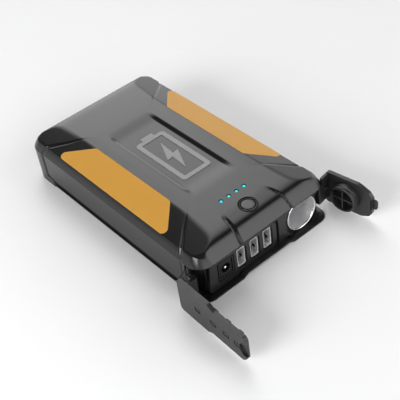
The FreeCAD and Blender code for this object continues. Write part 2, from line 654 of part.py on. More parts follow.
def button_set():
    at = ("0", "button_y")
    bezel = cut("button_bezel", rod("bezel_disc", "Z", at, ("bezel_foot", "bezel_top"), "bezel_radius"),
                rod("bezel_bore", "Z", at, ("bezel_foot - 1", "bezel_top + 1"),
                    "button_radius + button_gap"))
    node(bezel, "button_bezel")
    cap = fuse("power_button", rod("button_cap", "Z", at, ("button_foot", "button_top"), "button_radius"),
               rod("button_skirt", "Z", at, ("button_foot", "button_foot + 0.5"), "button_flange"))
    node(cap, "power_button")
    node(rod("switch_plunger", "Z", at, ("plunger_foot", "button_foot"), "plunger"), "switch_plunger")
    case = block("switch_case", ("-switch_half", "switch_half"),
                 ("button_y - switch_half", "button_y + switch_half"),
                 ("panel_board_top", "switch_top"))
    hole = rod("switch_hole", "Z", at, ("switch_well", "switch_top + 1"), "plunger + pin_gap")
    node(cut("push_switch", case, hole), "push_switch")
    node(block("button_board", ("-panel_board_half", "panel_board_half"),
               ("panel_board_front", "panel_board_back"),
               ("panel_board_foot", "panel_board_top")), "button_board")


def charge_lights():
    lenses = []
    chips = []
    for i in range(4):
        x = f"({i} - 1.5) * led_pitch"
        lenses.append(rod(f"lens_{i}", "Z", (x, "led_y"), ("led_foot", "led_top"), "led_radius"))
        chips.append(block(f"chip_{i}", (f"{x} - chip_half", f"{x} + chip_half"),
                           ("led_y - chip_half", "led_y + chip_half"),
                           ("panel_board_top", "chip_top")))
    node(group("led_lenses", *lenses), "led_lenses")
    node(group("led_chips", *chips), "led_chips")


# ---------------------------------------------------------------- ports

def usb_port(tag, index):
    x = f"usb_x + ({index} - 1) * usb_pitch"
    outer = block(f"usb_outer_{tag}", (f"{x} - usb_half_width", f"{x} + usb_half_width"),
                  ("usb_front", "usb_back"),
                  ("port_z - usb_half_height", "port_z + usb_half_height"))
    inner = block(f"usb_inner_{tag}",
                  (f"{x} - usb_half_width + usb_wall", f"{x} + usb_half_width - usb_wall"),
                  ("usb_front - 1", "usb_back - 1.5"),
                  ("port_z - usb_half_height + usb_wall", "port_z + usb_half_height - usb_wall"))
    node(cut(f"usb_shell_{tag}", outer, inner), f"usb_shell_{tag}")
    middle = f"{x} + tongue_shift"
    node(block(f"usb_tongue_{tag}", (f"{middle} - tongue_half", f"{middle} + tongue_half"),
               ("tongue_front", "usb_back - 1.5"),
               ("port_z - tongue_half_height", "port_z + tongue_half_height")),
         f"usb_tongue_{tag}")


def charging_jack():
    at = ("dc_x", "port_z")
    x = ("dc_x - dc_half_width + 0.4", "dc_x + dc_half_width - 0.4")
    face = block("dc_front", x, ("dc_face", "fascia_back + 0.2"),
                 ("port_z - dc_half_height + 0.3", "port_z + dc_half_height - 0.3"))
    body = block("dc_case", x, ("fascia_back + 0.1", "dc_back"),
                 ("board_top", "port_z + dc_half_height - 0.3"))
    hole = rod("dc_bore", "Y", at, ("dc_face - 1", "dc_hole_back"), "dc_hole")
    node(cut("dc_jack_body", fuse("dc_whole", face, body), hole), "dc_jack_body")
    node(rod("dc_jack_pin", "Y", at, ("dc_pin_front", "dc_hole_back"), "dc_pin"), "dc_jack_pin")


def tube(name, centre, span, outer, inner):
    wide = rod(f"{name}_outer", "Y", centre, span, outer)
    narrow = rod(f"{name}_inner", "Y", centre, (f"{span[0]} - 1", f"{span[1]} + 1"), inner)
    return cut(name, wide, narrow)


def accessory_socket():
    at = ("socket_x", "port_z")
    span = ("ring_front", "ring_back")
    node(cut("socket_ring", rod("ring_disc", "Y", at, span, "ring"),
             cone("ring_flare", at, span, "ring_mouth", "bore")), "socket_ring")
    node(tube("socket_barrel", at, ("ring_back", "barrel_back"), "barrel", "bore"), "socket_barrel")
    outer = rod("housing_outer", "Y", at, ("sleeve_front", "sleeve_back"), "sleeve")
    inner = rod("housing_inner", "Y", at, ("sleeve_front - 1", "sleeve_back - sleeve_bottom"),
                "barrel + pin_gap")
    stem_hole = rod("housing_hole", "Y", at, ("contact_shoulder", "sleeve_back + 1"), "contact_stem")
    node(cut("socket_housing", outer, inner, stem_hole), "socket_housing")
    disc = rod("contact_disc", "Y", at, ("contact_shoulder", "sleeve_back - sleeve_bottom"), "contact")
    dome = cone("contact_dome", at, ("contact_tip", "contact_shoulder"), "contact_stem", "contact")
    stem = rod("contact_stem_rod", "Y", at, ("contact_shoulder", "contact_end"), "contact_stem")
    node(fuse("socket_contact", disc, dome, stem), "socket_contact")
    node(block("positive_strip", ("socket_x - strip_half", "socket_x + strip_half"),
               ("contact_end", "guard_front"), ("port_z - 4", "port_z + 6")), "positive_strip")


# ---------------------------------------------------------------- electronics and battery

def main_board():
    board = block("board_sheet", ("board_left", "board_right"), ("board_front", "board_back"),
                  ("board_foot", "board_top"))
    holes = [rod(f"board_hole_{i}{j}", "Z", (x, y), ("board_foot - 1", "board_top + 1"), "screw_hole")
             for i, x in enumerate(("board_screw_left", "board_screw_right"))
             for j, y in enumerate(("board_screw_front", "board_screw_back"))]
    node(cut("main_board", board, *holes), "main_board")
    node(block("power_inductor", ("inductor_x - inductor_half", "inductor_x + inductor_half"),
               ("inductor_y - inductor_half", "inductor_y + inductor_half"),
               ("board_top", "board_top + inductor_height")), "power_inductor")
    cans = [rod(f"can_{i}", "Z", (f"can_x + {side} * can_spread", "can_y"),
                ("board_top", "board_top + can_height"), "can_radius")
            for i, side in enumerate((-1, 1))]
    node(group("filter_capacitors", *cans), "filter_capacitors")
    chips = []
    for i in range(3):
        x = f"transistor_x + {i} * transistor_pitch"
        chips.append(block(f"transistor_{i}", (f"{x} - transistor_half_x", f"{x} + transistor_half_x"),
                           ("transistor_y - transistor_half_y", "transistor_y + transistor_half_y"),
                           ("board_top", "board_top + transistor_height")))
    node(group("power_transistors", *chips), "power_transistors")
    over = "transistor_half_x + spreader_end"
    node(block("heat_spreader",
               (f"transistor_x - ({over})", f"transistor_x + 2 * transistor_pitch + {over}"),
               ("transistor_y - spreader_half", "transistor_y + spreader_half"),
               ("board_top + transistor_height",
                "board_top + transistor_height + spreader_thick")), "heat_spreader")
    node(block("negative_strip", ("negative_x - strip_half", "negative_x + strip_half"),
               ("board_back - 3", "guard_front"),
               ("board_top", "board_top + strip_thick")), "negative_strip")


def battery():
    layer = "(cell_thick + foam)"
    for i, tag in enumerate(("lower", "middle", "upper")):
        foot = f"cell_foot + {i} * {layer}"
        outline = [("-cell_half", "cell_front"), ("cell_half", "cell_front"),
                   ("cell_half", "cell_back"), ("-cell_half", "cell_back")]
        cell = prism(f"battery_cell_{tag}", "XY_Plane", outline, (foot, f"{foot} + cell_thick"),
                     upright, "cell_round")
        node(cell, f"battery_cell_{tag}")
    for i, tag in enumerate(("lower", "upper")):
        foot = f"cell_foot + cell_thick + {i} * {layer}"
        node(block(f"foam_pad_{tag}", ("foam_inset - cell_half", "cell_half - foam_inset"),
                   ("cell_front + foam_inset", "cell_back - foam_inset"), (foot, f"{foot} + foam")),
             f"foam_pad_{tag}")
    outer = block("tray_outer", ("-tray_half", "tray_half"), ("tray_front", "tray_back"),
                  ("wall", "tray_top"))
    inner = block("tray_inner", ("tray_wall - tray_half", "tray_half - tray_wall"),
                  ("tray_front - 1", "tray_back - tray_wall"), ("cell_foot", "tray_top + 1"))
    node(cut("battery_tray", outer, inner), "battery_tray")
    node(block("protection_board", ("-guard_half", "guard_half"), ("guard_front", "guard_back"),
               ("guard_foot", "guard_top")), "protection_board")
    tabs = []
    for i in range(3):
        for j, side in enumerate((-1, 1)):
            x = f"{side} * tab_x"
            z = f"cell_foot + cell_thick / 2 + {i} * {layer}"
            tabs.append(block(f"tab_{i}{j}", (f"{x} - tab_half_width", f"{x} + tab_half_width"),
                              ("guard_back", "cell_front"), (z, f"{z} + tab_thick")))
    node(group("cell_tabs", *tabs), "cell_tabs")


def fixings():
    screws = []
    for i, at in enumerate(screw_places()):
        head = rod(f"case_head_{i}", "Z", at, ("screw_head_foot", "screw_head_top"), "screw_head")
        shank = rod(f"case_shank_{i}", "Z", at, ("screw_head_top", "screw_tip"), "screw_shank")
        screws.append(fuse(f"case_screw_{i}", head, shank))
    node(group("case_screws", *screws), "case_screws")
    screws = []
    for i, x in enumerate(("board_screw_left", "board_screw_right")):
        for j, y in enumerate(("board_screw_front", "board_screw_back")):
            head = rod(f"board_head_{i}{j}", "Z", (x, y), ("board_top", "board_head_top"), "screw_head")
            shank = rod(f"board_shank_{i}{j}", "Z", (x, y), ("board_screw_foot", "board_top"),
                        "screw_shank")
            screws.append(fuse(f"board_screw_{i}{j}", head, shank))
    node(group("board_screws", *screws), "board_screws")
    for tag, side in (("flap", -1), ("cap", 1)):
        node(rod(f"{tag}_hinge_pin", "Z", hinge_place(side), ("pin_foot", "pin_top"), "pin"),
             f"{tag}_hinge_pin")


# ---------------------------------------------------------------- covers

# The covers are drawn closed, in a frame whose origin is their own hinge axis,
# so x is measured from the hinge axis towards the middle of the pack.

def from_hinge(side, x):
    return f"{x} - {hinge_place(side)[0]}"


def span_from_hinge(side, first, second):
    ends = sorted((from_hinge(side, first), from_hinge(side, second)), key=number)
    return tuple(ends)


def depth(side, first, second):
    return (f"{first} - {hinge_place(side)[1]}", f"{second} - {hinge_place(side)[1]}")


def hinge_arm(name, side, top):
    root = depth(side, "cover_back - 0.1", "0")[0]
    arm = block(f"{name}_slab", span_from_hinge(side, f"{side} * arm_outer", f"{side} * arm_inner"),
                (root, "arm_back"), ("arm_foot", top))
    web = block(f"{name}_web", span_from_hinge(side, hinge_place(side)[0], f"{side} * arm_inner"),
                ("-arm_reach", "arm_back"), ("arm_foot", top))
    eye = rod(f"{name}_eye", "Z", ("0", "0"), ("arm_foot", top), "eye")
    hole = rod(f"{name}_hole", "Z", ("0", "0"), ("arm_foot - 1", f"{top} + 1"), "pin + pin_gap")
    return arm, web, eye, hole


def port_flap():
    left = -1

    def u(x):
        return from_hinge(left, x)

    outline = [(u("-cover_hinge_end"), "cover_foot"), (u("flap_step_start"), "cover_foot"),
               (u("flap_step_end"), "flap_narrow_foot"),
               (u("flap_tip - flap_end_corner"), "flap_narrow_foot"),
               (u("flap_tip"), "flap_narrow_foot + flap_end_corner"),
               (u("flap_tip"), "flap_narrow_top - flap_end_corner / 2"),
               (u("flap_tip - flap_end_corner / 2"), "flap_narrow_top"),
               (u("flap_slope_end"), "flap_narrow_top"), (u("flap_slope_start"), "cover_top"),
               (u("-cover_hinge_end"), "cover_top")]
    plate = prism("flap_plate", "XZ_Plane", outline, depth(left, "cover_front", "cover_back"))
    nest = block("flap_nest", (u("nest_left"), u("flap_tip + 1")),
                 depth(left, "cover_front - 1", "nest_floor"), ("port_z - nest_half", "port_z + nest_half"))
    arm, web, eye, hole = hinge_arm("flap_arm", left, "flap_arm_top")
    plugs = []
    for i in range(3):
        x = f"usb_x + ({i} - 1) * usb_pitch"
        plugs.append(block(f"flap_usb_plug_{i}",
                           (u(f"{x} - usb_plug_half_width"), u(f"{x} + usb_plug_half_width")),
                           depth(left, "cover_back - 0.1", "usb_plug_end"),
                           ("port_z - usb_plug_half_height", "port_z + usb_plug_half_height")))
    ring = rod("flap_dc_plug", "Y", (u("dc_x"), "port_z"),
               depth(left, "cover_back - 0.1", "dc_plug_end"), "dc_plug")
    ring_hole = rod("flap_dc_hole", "Y", (u("dc_x"), "port_z"),
                    depth(left, "cover_back", "dc_plug_end + 1"), "dc_plug_hole")
    whole = fuse("flap_whole", plate, arm, web, eye, ring, *plugs)
    closed = cut("flap_closed", whole, nest, hole, ring_hole)
    node(swung("port_flap", closed, left), "port_flap")


def socket_cap():
    right = 1

    def u(x):
        return from_hinge(right, x)

    at = (u("socket_x"), "port_z")
    middle = "(cover_foot + cover_top) / 2"
    outline = [(u("cover_hinge_end"), "cover_foot"), (u("cap_round_x"), "cover_foot"),
               (u("cap_bevel_x"), f"{middle} - cap_bevel_half"),
               (u("cap_end"), f"{middle} - cap_end_half"),
               (u("cap_end"), f"{middle} + cap_end_half"),
               (u("cap_bevel_x"), f"{middle} + cap_bevel_half"),
               (u("cap_round_x"), "cover_top"), (u("cover_hinge_end"), "cover_top")]
    plate = prism("cap_plate", "XZ_Plane", outline, depth(right, "cover_front", "cover_back"))
    tab = block("cap_tab", (u("tab_end"), u("cap_end + 1")), depth(right, "cover_front", "tab_back"),
                (f"{middle} - tab_half", f"{middle} + tab_half"))
    arm, web, eye, hole = hinge_arm("cap_arm", right, "cap_arm_top")
    root, end = depth(right, "cover_back - 0.1", "plug_end")
    plug = cone("cap_plug", at, (root, end), "plug", "plug_tip")
    bore = rod("cap_plug_bore", "Y", at, (f"{root} + 0.1", f"{end} + 1"), "plug_tip - plug_wall")
    swing = rod("cap_plug_swing", "Z", ("0", "0"), ("0", "cover_top + 1"), "plug_swing")
    reach = "plug_tip - plug_wall / 2"
    ribs = [block("cap_rib_upright", (f"{at[0]} - plug_rib", f"{at[0]} + plug_rib"),
                  (root, f"{end} - 0.8"), (f"port_z - ({reach})", f"port_z + {reach}")),
            block("cap_rib_level", (f"{at[0]} - ({reach})", f"{at[0]} + {reach}"),
                  (root, f"{end} - 0.8"), ("port_z - plug_rib", "port_z + plug_rib"))]
    cup = cut("cap_cup", fuse("cap_plug_whole", cut("cap_plug_wall", plug, bore), *ribs), swing)
    closed = cut("cap_closed", fuse("cap_whole", plate, tab, arm, web, eye, cup), hole)
    node(swung("socket_cap", closed, right), "socket_cap")


# ---------------------------------------------------------------- assembly

top_shell()
bottom_shell()
fascia()
node(badge("panel_badge", "roof_z - panel_sink", "roof_z - panel_sink + badge_thick"), "panel_badge")
button_set()
charge_lights()
for position, side_name in enumerate(("left", "middle", "right")):
    usb_port(side_name, position)
charging_jack()
accessory_socket()
main_board()
battery()
fixings()
port_flap()
socket_cap()
doc.recompute()

for item in doc.Objects:
    if {"Invalid", "Error"} & set(item.State):
        raise RuntimeError(f"{item.Label} failed: {item.State}")
for item in NODES:
    if item.Shape.isNull() or not item.Shape.isValid() or not item.Shape.Solids:
        raise RuntimeError(f"{item.Label} has no valid solid")

os.makedirs("parts", exist_ok=True)
for item in NODES:
    item.Shape.exportStep(f"parts/{item.Label}.step")
    box = item.Shape.BoundBox
    print(f"{item.Label:22s} solids {len(item.Shape.Solids)} volume {item.Shape.Volume:10.1f}"
          f"  x {box.XMin:.1f} {box.XMax:.1f}  y {box.YMin:.1f} {box.YMax:.1f}"
          f"  z {box.ZMin:.1f} {box.ZMax:.1f}")
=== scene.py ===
"""Looks of the jump starter pack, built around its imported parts.

The frame: origin under the middle of the casing, +Z up, ports towards -Y.
Lengths of the part are in millimetres here, and MM turns them into the frame's metres. The floor,
the lamp and the camera's clipping are in metres.
"""
import json
import math

import bmesh
import bpy
import numpy as np
from mathutils import Matrix, Vector


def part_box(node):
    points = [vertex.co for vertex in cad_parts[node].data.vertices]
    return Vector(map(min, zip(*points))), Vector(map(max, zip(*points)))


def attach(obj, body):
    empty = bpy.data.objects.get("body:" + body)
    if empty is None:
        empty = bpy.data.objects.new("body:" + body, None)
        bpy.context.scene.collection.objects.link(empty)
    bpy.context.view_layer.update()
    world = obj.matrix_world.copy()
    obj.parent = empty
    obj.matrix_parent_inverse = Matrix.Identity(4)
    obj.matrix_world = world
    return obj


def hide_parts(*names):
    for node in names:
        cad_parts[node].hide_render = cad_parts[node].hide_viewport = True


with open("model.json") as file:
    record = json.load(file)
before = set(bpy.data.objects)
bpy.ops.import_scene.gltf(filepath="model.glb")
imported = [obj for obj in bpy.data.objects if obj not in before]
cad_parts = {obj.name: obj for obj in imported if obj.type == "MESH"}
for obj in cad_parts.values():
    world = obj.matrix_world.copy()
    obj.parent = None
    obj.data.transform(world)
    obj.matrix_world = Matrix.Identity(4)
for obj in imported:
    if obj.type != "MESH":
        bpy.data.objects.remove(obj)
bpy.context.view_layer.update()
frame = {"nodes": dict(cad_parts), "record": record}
MM = 0.001

# ---------------------------------------------------------------- sizes shared by several pieces

# The casing's plan, the joint line between its shells, and the foot of the brow over the ports.
HALF_X, HALF_Y, CORNER = 50.0, 86.4, 10.0
SEAM = 5.9
BROW_FOOT = 25.1

# The button, and the four charge lights in a row behind it.
BUTTON_Y = -72.2
LED_Y, LED_PITCH = -59.3, 5.94
LED_PLACES = [((k - 1.5) * LED_PITCH, LED_Y) for k in range(4)]

# Front and back of the port face, and the ports' middles. Cutters start at AHEAD, clear of the face,
# and those between the two ends of THROUGH go all the way through it.
FACE, FACE_BACK = -83.6, -81.6
AHEAD = -90.0
THROUGH = (AHEAD, -80.0)
PORT_Z = 13.0
DC_X = -29.6
USB_X = [-17.72, -7.56, 2.60]
SOCKET_X = 30.8

# Hinge axes in plan, the turn from closed to open in degrees, and the closed covers' two faces.
FLAP_HINGE, FLAP_OPEN = (-48.9, -74.9), -91.5
CAP_HINGE, CAP_OPEN = (48.8, -75.5), 98.5
COVER_OUT, COVER_IN = -86.4, -83.9
ARM_FOOT, FLAP_ARM_TOP, CAP_ARM_TOP = 6.0, 17.0, 20.0
PIN_RADIUS, EYE_RADIUS = 0.8, 1.75

# The four corners of the underside, as signs.
SIGNS = [(sx, sy) for sx in (-1, 1) for sy in (-1, 1)]


# ---------------------------------------------------------------- materials

def new_nodes(name):
    made = bpy.data.materials.new(name)
    made.use_nodes = True
    tree = made.node_tree
    return made, tree, tree.nodes["Principled BSDF"]


def noise(tree, size, detail=3.0, rough=0.5, stretch=None):
    """Noise whose grains are about size mm across."""
    where = tree.nodes.new("ShaderNodeTexCoord").outputs["Object"]
    if stretch:
        scaler = tree.nodes.new("ShaderNodeMapping")
        scaler.inputs["Scale"].default_value = stretch
        tree.links.new(where, scaler.inputs["Vector"])
        where = scaler.outputs["Vector"]
    grain = tree.nodes.new("ShaderNodeTexNoise")
    grain.inputs["Scale"].default_value = 1.0 / (size * MM)
    grain.inputs["Detail"].default_value = detail
    grain.inputs["Roughness"].default_value = rough
    tree.links.new(where, grain.inputs["Vector"])
    return grain.outputs["Fac"]


def spread(tree, value, low, high, start=0.3, end=0.7):
    curve = tree.nodes.new("ShaderNodeMapRange")
    curve.inputs["From Min"].default_value = start
    curve.inputs["From Max"].default_value = end
    curve.inputs["To Min"].default_value = low
    curve.inputs["To Max"].default_value = high
    tree.links.new(value, curve.inputs["Value"])
    return curve.outputs["Result"]


def finish(name, colour, rough, metal=0.0, grain=0.35, bump=0.02, mottle=0.05, patch=14.0,
           rough_spread=0.02, stretch=None, glow=None, specular=0.5):
    """Procedural finish: patchy tone, patchy roughness and a fine moulded or brushed grain.

    The sizes grain and patch and the depth bump are in millimetres.
    """
    smear_size = 0.45 * patch
    fine_share = 0.35
    made, tree, shader = new_nodes(name)
    patches = noise(tree, patch, 4.0, 0.6)
    mix = tree.nodes.new("ShaderNodeMix")
    mix.data_type = "RGBA"
    mix.inputs["A"].default_value = (*[c * (1 - mottle) for c in colour], 1)
    mix.inputs["B"].default_value = (*[min(1, c * (1 + mottle)) for c in colour], 1)
    tree.links.new(spread(tree, patches, 0, 1), mix.inputs["Factor"])
    tree.links.new(mix.outputs["Result"], shader.inputs["Base Color"])
    fine = noise(tree, grain, 2.0, 0.5, stretch)
    smear = noise(tree, smear_size, 5.0, 0.65)
    both = tree.nodes.new("ShaderNodeMath")
    both.operation = "MULTIPLY_ADD"
    both.inputs[1].default_value = fine_share
    tree.links.new(fine, both.inputs[0])
    tree.links.new(smear, both.inputs[2])
    tree.links.new(spread(tree, both.outputs[0], rough - rough_spread, rough + rough_spread, 0.4, 0.95),
                   shader.inputs["Roughness"])
    bumps = tree.nodes.new("ShaderNodeBump")
    bumps.inputs["Strength"].default_value = 1.0
    bumps.inputs["Distance"].default_value = bump * MM
    tree.links.new(fine, bumps.inputs["Height"])
    tree.links.new(bumps.outputs["Normal"], shader.inputs["Normal"])
    shader.inputs["Metallic"].default_value = metal
    shader.inputs["Specular IOR Level"].default_value = specular
    if glow:
        shader.inputs["Emission Color"].default_value = (*glow[0], 1)
        shader.inputs["Emission Strength"].default_value = glow[1]
    return made


LOOK = {
    "casing": finish("casing_plastic", (0.007, 0.007, 0.0074), 0.21, grain=0.30, bump=0.0012, specular=0.45),
    "casing_dark": finish("casing_dark_plastic", (0.007, 0.007, 0.0075), 0.33, grain=0.30, bump=0.002),
    "inlay": finish("orange_plastic", (0.57, 0.285, 0.040), 0.42, grain=0.25, bump=0.003, mottle=0.02,
                    specular=0.25),
    "print": finish("grey_print", (0.30, 0.30, 0.305), 0.60, grain=0.2, bump=0.002, mottle=0.03,
                    specular=0.2),
    "black_plastic": finish("black_plastic", (0.006, 0.006, 0.006), 0.5, grain=0.4, bump=0.006, specular=0.3),
    "circuit_board": finish("solder_mask", (0.02, 0.12, 0.05), 0.35, grain=0.5, bump=0.01, patch=4.0),
    "ceramic_chip": finish("ceramic_chip", (0.72, 0.71, 0.68), 0.5, grain=0.1, bump=0.004),
    "steel": finish("plain_steel", (0.74, 0.74, 0.75), 0.34, metal=1.0, grain=0.25, bump=0.003,
                    mottle=0.06, stretch=(1.0, 12.0, 1.0)),
    # Brighter, rougher copy of the plain steel. Its pale colour is painted light, standing in for light
    # inside the socket bore and the USB shells.
    "steel_with_painted_light": finish("steel_with_painted_light", (0.93, 0.93, 0.94), 0.58, metal=1.0, grain=0.25, bump=0.002),
    "chrome": finish("bright_chrome", (0.88, 0.88, 0.89), 0.10, metal=1.0, grain=1.0, bump=0.001,
                     mottle=0.02, rough_spread=0.03),
    "brass": finish("turned_brass", (0.72, 0.52, 0.22), 0.3, metal=1.0, grain=0.2, bump=0.003),
    "copper": finish("copper_strip", (0.72, 0.36, 0.20), 0.3, metal=1.0, grain=0.4, bump=0.003),
    "ferrite": finish("ferrite", (0.045, 0.045, 0.05), 0.6, grain=0.15, bump=0.01),
    "aluminium": finish("satin_aluminium", (0.74, 0.75, 0.77), 0.35, metal=1.0, grain=0.2, bump=0.004),
    "cell_foil": finish("cell_foil", (0.62, 0.63, 0.66), 0.38, metal=1.0, grain=1.2, bump=0.02, patch=9.0),
    "foam": finish("cell_foam", (0.05, 0.05, 0.05), 0.9, grain=0.6, bump=0.08),
    "nickel": finish("nickel_strip", (0.62, 0.60, 0.56), 0.3, metal=1.0, grain=0.3, bump=0.003),
    "cover_rubber": finish("cover_rubber", (0.016, 0.016, 0.0165), 0.40, grain=0.28, bump=0.002),
    "light_lens": finish("lit_lens", (0.0, 0.55, 0.60), 0.25, grain=0.3, bump=0.002,
                         glow=((0.0, 0.80, 0.86), 0.75)),
}


# ---------------------------------------------------------------- outlines and solids

def rounded(corners, steps=6):
    """Outline whose corners (u, v, radius) are rounded; a radius of 0 leaves a corner sharp.

    A corner takes no more than most of half of each side beside it.
    """
    most = 0.49
    out = []
    count = len(corners)
    for index, (u, v, radius) in enumerate(corners):
        here = Vector((u, v))
        before = Vector(corners[index - 1][:2]) - here
        after = Vector(corners[(index + 1) % count][:2]) - here
        if radius <= 0:
            out.append((u, v))
            continue
        half = before.angle(after) / 2
        reach = min(radius / math.tan(half), before.length * most, after.length * most)
        radius = reach * math.tan(half)
        centre = here + (before.normalized() + after.normalized()).normalized() * (radius / math.sin(half))
        first = here + before.normalized() * reach - centre
        last = here + after.normalized() * reach - centre
        angle = math.atan2(first.y, first.x)
        turn = (math.atan2(last.y, last.x) - angle + math.pi) % (2 * math.pi) - math.pi
        for k in range(steps + 1):
            at = angle + turn * k / steps
            out.append((centre.x + radius * math.cos(at), centre.y + radius * math.sin(at)))
    return out


def rectangle(u0, u1, v0, v1, radius=0.0, steps=6):
    return rounded([(u0, v0, radius), (u1, v0, radius), (u1, v1, radius), (u0, v1, radius)], steps)


def around(u, v, half_u, half_v, radius=0.0, steps=6):
    """Rectangle with its middle at (u, v)."""
    return rectangle(u - half_u, u + half_u, v - half_v, v + half_v, radius, steps)


def disc(u, v, radius, steps=48):
    return [(u + radius * math.cos(2 * math.pi * k / steps), v + radius * math.sin(2 * math.pi * k / steps))
            for k in range(steps)]


PLACES = {"X": lambda u, v, w: (w, u, v), "Y": lambda u, v, w: (u, w, v), "Z": lambda u, v, w: (u, v, w)}


def stacked(rings):
    """Closed solid through rings of points, each with as many points, from the first to the last."""
    points = [point for ring in rings for point in ring]
    count = len(rings[0])
    faces = [tuple(range(count))[::-1], tuple(range(len(points) - count, len(points)))]
    for start in range(0, len(points) - count, count):
        for k in range(count):
            here, after = start + k, start + (k + 1) % count
            faces.append((here, after, after + count, here + count))
    return points, faces


def prism(outline, axis, low, high):
    """Closed solid: an outline across the axis, from low to high along it."""
    place = PLACES[axis]
    return stacked([[place(u, v, w) for u, v in outline] for w in (low, high)])


def box(x, y, z):
    return prism(rectangle(x[0], x[1], y[0], y[1]), "Z", z[0], z[1])


def lathe(profile, axis, centre, steps=64):
    """Solid of revolution; profile is a closed loop of (radius, along) or ends on the axis."""
    place = PLACES[axis]
    points, rings = [], []
    for radius, along in profile:
        count = 1 if radius < 1e-6 else steps
        rings.append(range(len(points), len(points) + count))
        for k in range(count):
            angle = 2 * math.pi * k / steps
            u, v = centre[0] + radius * math.cos(angle), centre[1] + radius * math.sin(angle)
            points.append(place(u, v, along))
    faces = []
    loop = len(rings[0]) > 1
    for index in range(len(rings) if loop else len(rings) - 1):
        one, two = rings[index], rings[(index + 1) % len(rings)]
        for k in range(steps):
            after = (k + 1) % steps
            if len(one) == 1:
                faces.append((one[0], two[after], two[k]))
            elif len(two) == 1:
                faces.append((one[k], one[after], two[0]))
            else:
                faces.append((one[k], one[after], two[after], two[k]))
    return points, faces


def moved(solid, change):
    points, faces = solid
    return [change(point) for point in points], faces


def move_mesh(made, change):
    for vertex in made.data.vertices:
        vertex.co = Vector(change(tuple(vertex.co / MM))) * MM


def to_mesh(name, solids):
    bm = bmesh.new()
    for points, faces in solids:
        made = [bm.verts.new(Vector(p) * MM) for p in points]
        for face in faces:
            bm.faces.new([made[k] for k in face])
    bmesh.ops.recalc_face_normals(bm, faces=bm.faces)
    mesh = bpy.data.meshes.new(name)
    bm.to_mesh(mesh)
    bm.free()
    return mesh


def link(name, mesh):
    made = bpy.data.objects.new(name, mesh)
    bpy.context.scene.collection.objects.link(made)
    return made


def combine(made, solids, operation="DIFFERENCE"):
    """Boolean of an object with closed solids that don't overlap each other, applied at once."""
    tool = link("tool", to_mesh("tool", solids))
    step = made.modifiers.new("combine", "BOOLEAN")
    step.operation = operation
    step.solver = "EXACT"
    step.object = tool
    bpy.context.view_layer.update()
    result = bpy.data.meshes.new_from_object(made.evaluated_get(bpy.context.evaluated_depsgraph_get()))
    made.modifiers.remove(step)
    made.data = result
    bpy.data.objects.remove(tool)


def soften(made, width, limit=32, segments=3):
    """Rounds every edge sharper than limit degrees, after points closer than tiny are joined."""
    tiny = 0.004 * MM
    bm = bmesh.new()
    bm.from_mesh(made.data)
    bmesh.ops.remove_doubles(bm, verts=bm.verts, dist=tiny)
    bmesh.ops.dissolve_degenerate(bm, edges=bm.edges, dist=tiny)
    sharp = [edge for edge in bm.edges
             if len(edge.link_faces) == 2 and edge.calc_face_angle(0) > math.radians(limit)]
    bmesh.ops.bevel(bm, geom=sharp, offset=width * MM, segments=segments, profile=0.5,
                    affect="EDGES", clamp_overlap=True)
    bm.to_mesh(made.data)
    bm.free()


def piece(name, solids, body, slot, stands_for=(), cuts=(), bevel=0.0, limit=32, crease=38, look=None):
    """Object made of solids, less each group of cuts, on its body and in its material slot."""
    made = link(name, to_mesh(name, solids))
    for group in cuts:
        combine(made, group)
    if bevel:
        soften(made, bevel, limit)
    dress(made, body, slot, stands_for, crease, look)
    return made


def dress(made, body, slot, stands_for=(), crease=38, look=None):
    made.data.name = made.name
    made.data.materials.clear()
    made.data.materials.append(LOOK[look or slot])
    made.data.shade_smooth()
    made.data.set_sharp_from_angle(angle=math.radians(crease))
    even = made.modifiers.new("even_normals", "WEIGHTED_NORMAL")
    even.keep_sharp = True
    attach(made, body)
    if stands_for:
        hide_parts(*stands_for)


# ---------------------------------------------------------------- top shell

def ramp(value, start, run):
    """0 up to start, then evenly up to 1 over the run."""
    return np.clip((value - start) / run, 0, 1)


def smooth_step(value, start, end):
    share = ramp(value, start, end - start)
    return share * share * (3 - 2 * share)


def profile(points, blur):
    """Height as a function of the distance from the edge, with its corners rounded by blur."""
    step = 0.05
    far = np.arange(-10.0, 100.0, step)
    inwards, height = np.array(points, float).T
    raw = np.interp(far, inwards, height)
    width = np.arange(-4 * blur, 4 * blur + step, step)
    bell = np.exp(-0.5 * (width / blur) ** 2)
    padded = np.pad(raw, len(width) // 2, mode="edge")
    soft = np.convolve(padded, bell / bell.sum(), mode="same")[len(width) // 2:][:len(raw)]
    return lambda distance: np.interp(distance, far, soft)


# The roof's rise from its long sides and from its two ends: (distance inwards, height).
SIDE = profile([(-4, 15.1), (0, 24.3), (1, 26.6), (2, 28.5), (2.7, 29.7), (3.3, 30.72), (21.4, 35.2),
                (34.1, 35.3), (100, 35.3)], 0.22)
END = profile([(-4, 21.0), (0, 25.7), (2.6, 29.0), (4.4, 31.2), (6.3, 32.95), (8.3, 33.92), (11.3, 34.45),
               (15, 34.68), (39.7, 35.3), (100, 35.3)], 0.9)


def roof(x, y):
    """Height of the plain roof form: the lower of its two slopes, blended where they meet."""
    ax, ay = np.abs(x), np.abs(y)
    side, end = SIDE(HALF_X - ax), END(HALF_Y - ay)
    blend = 0.5
    gap = np.clip(0.5 + (end - side) / (2 * blend), 0, 1)
    plain = end * (1 - gap) + side * gap - blend * gap * (1 - gap)
    # Round the corners the slope turns from the side's to the end's.
    cx, cy = np.maximum(ax - (HALF_X - CORNER), 0), np.maximum(ay - (HALF_Y - CORNER), 0)
    inset = CORNER - np.hypot(cx, cy)
    share = np.arctan2(cy, np.maximum(cx, 1e-6)) / (math.pi / 2)
    swept = SIDE(inset) * (1 - share) + END(inset) * share
    return np.where((cx > 0) & (cy > 0), np.minimum(plain, swept), plain)


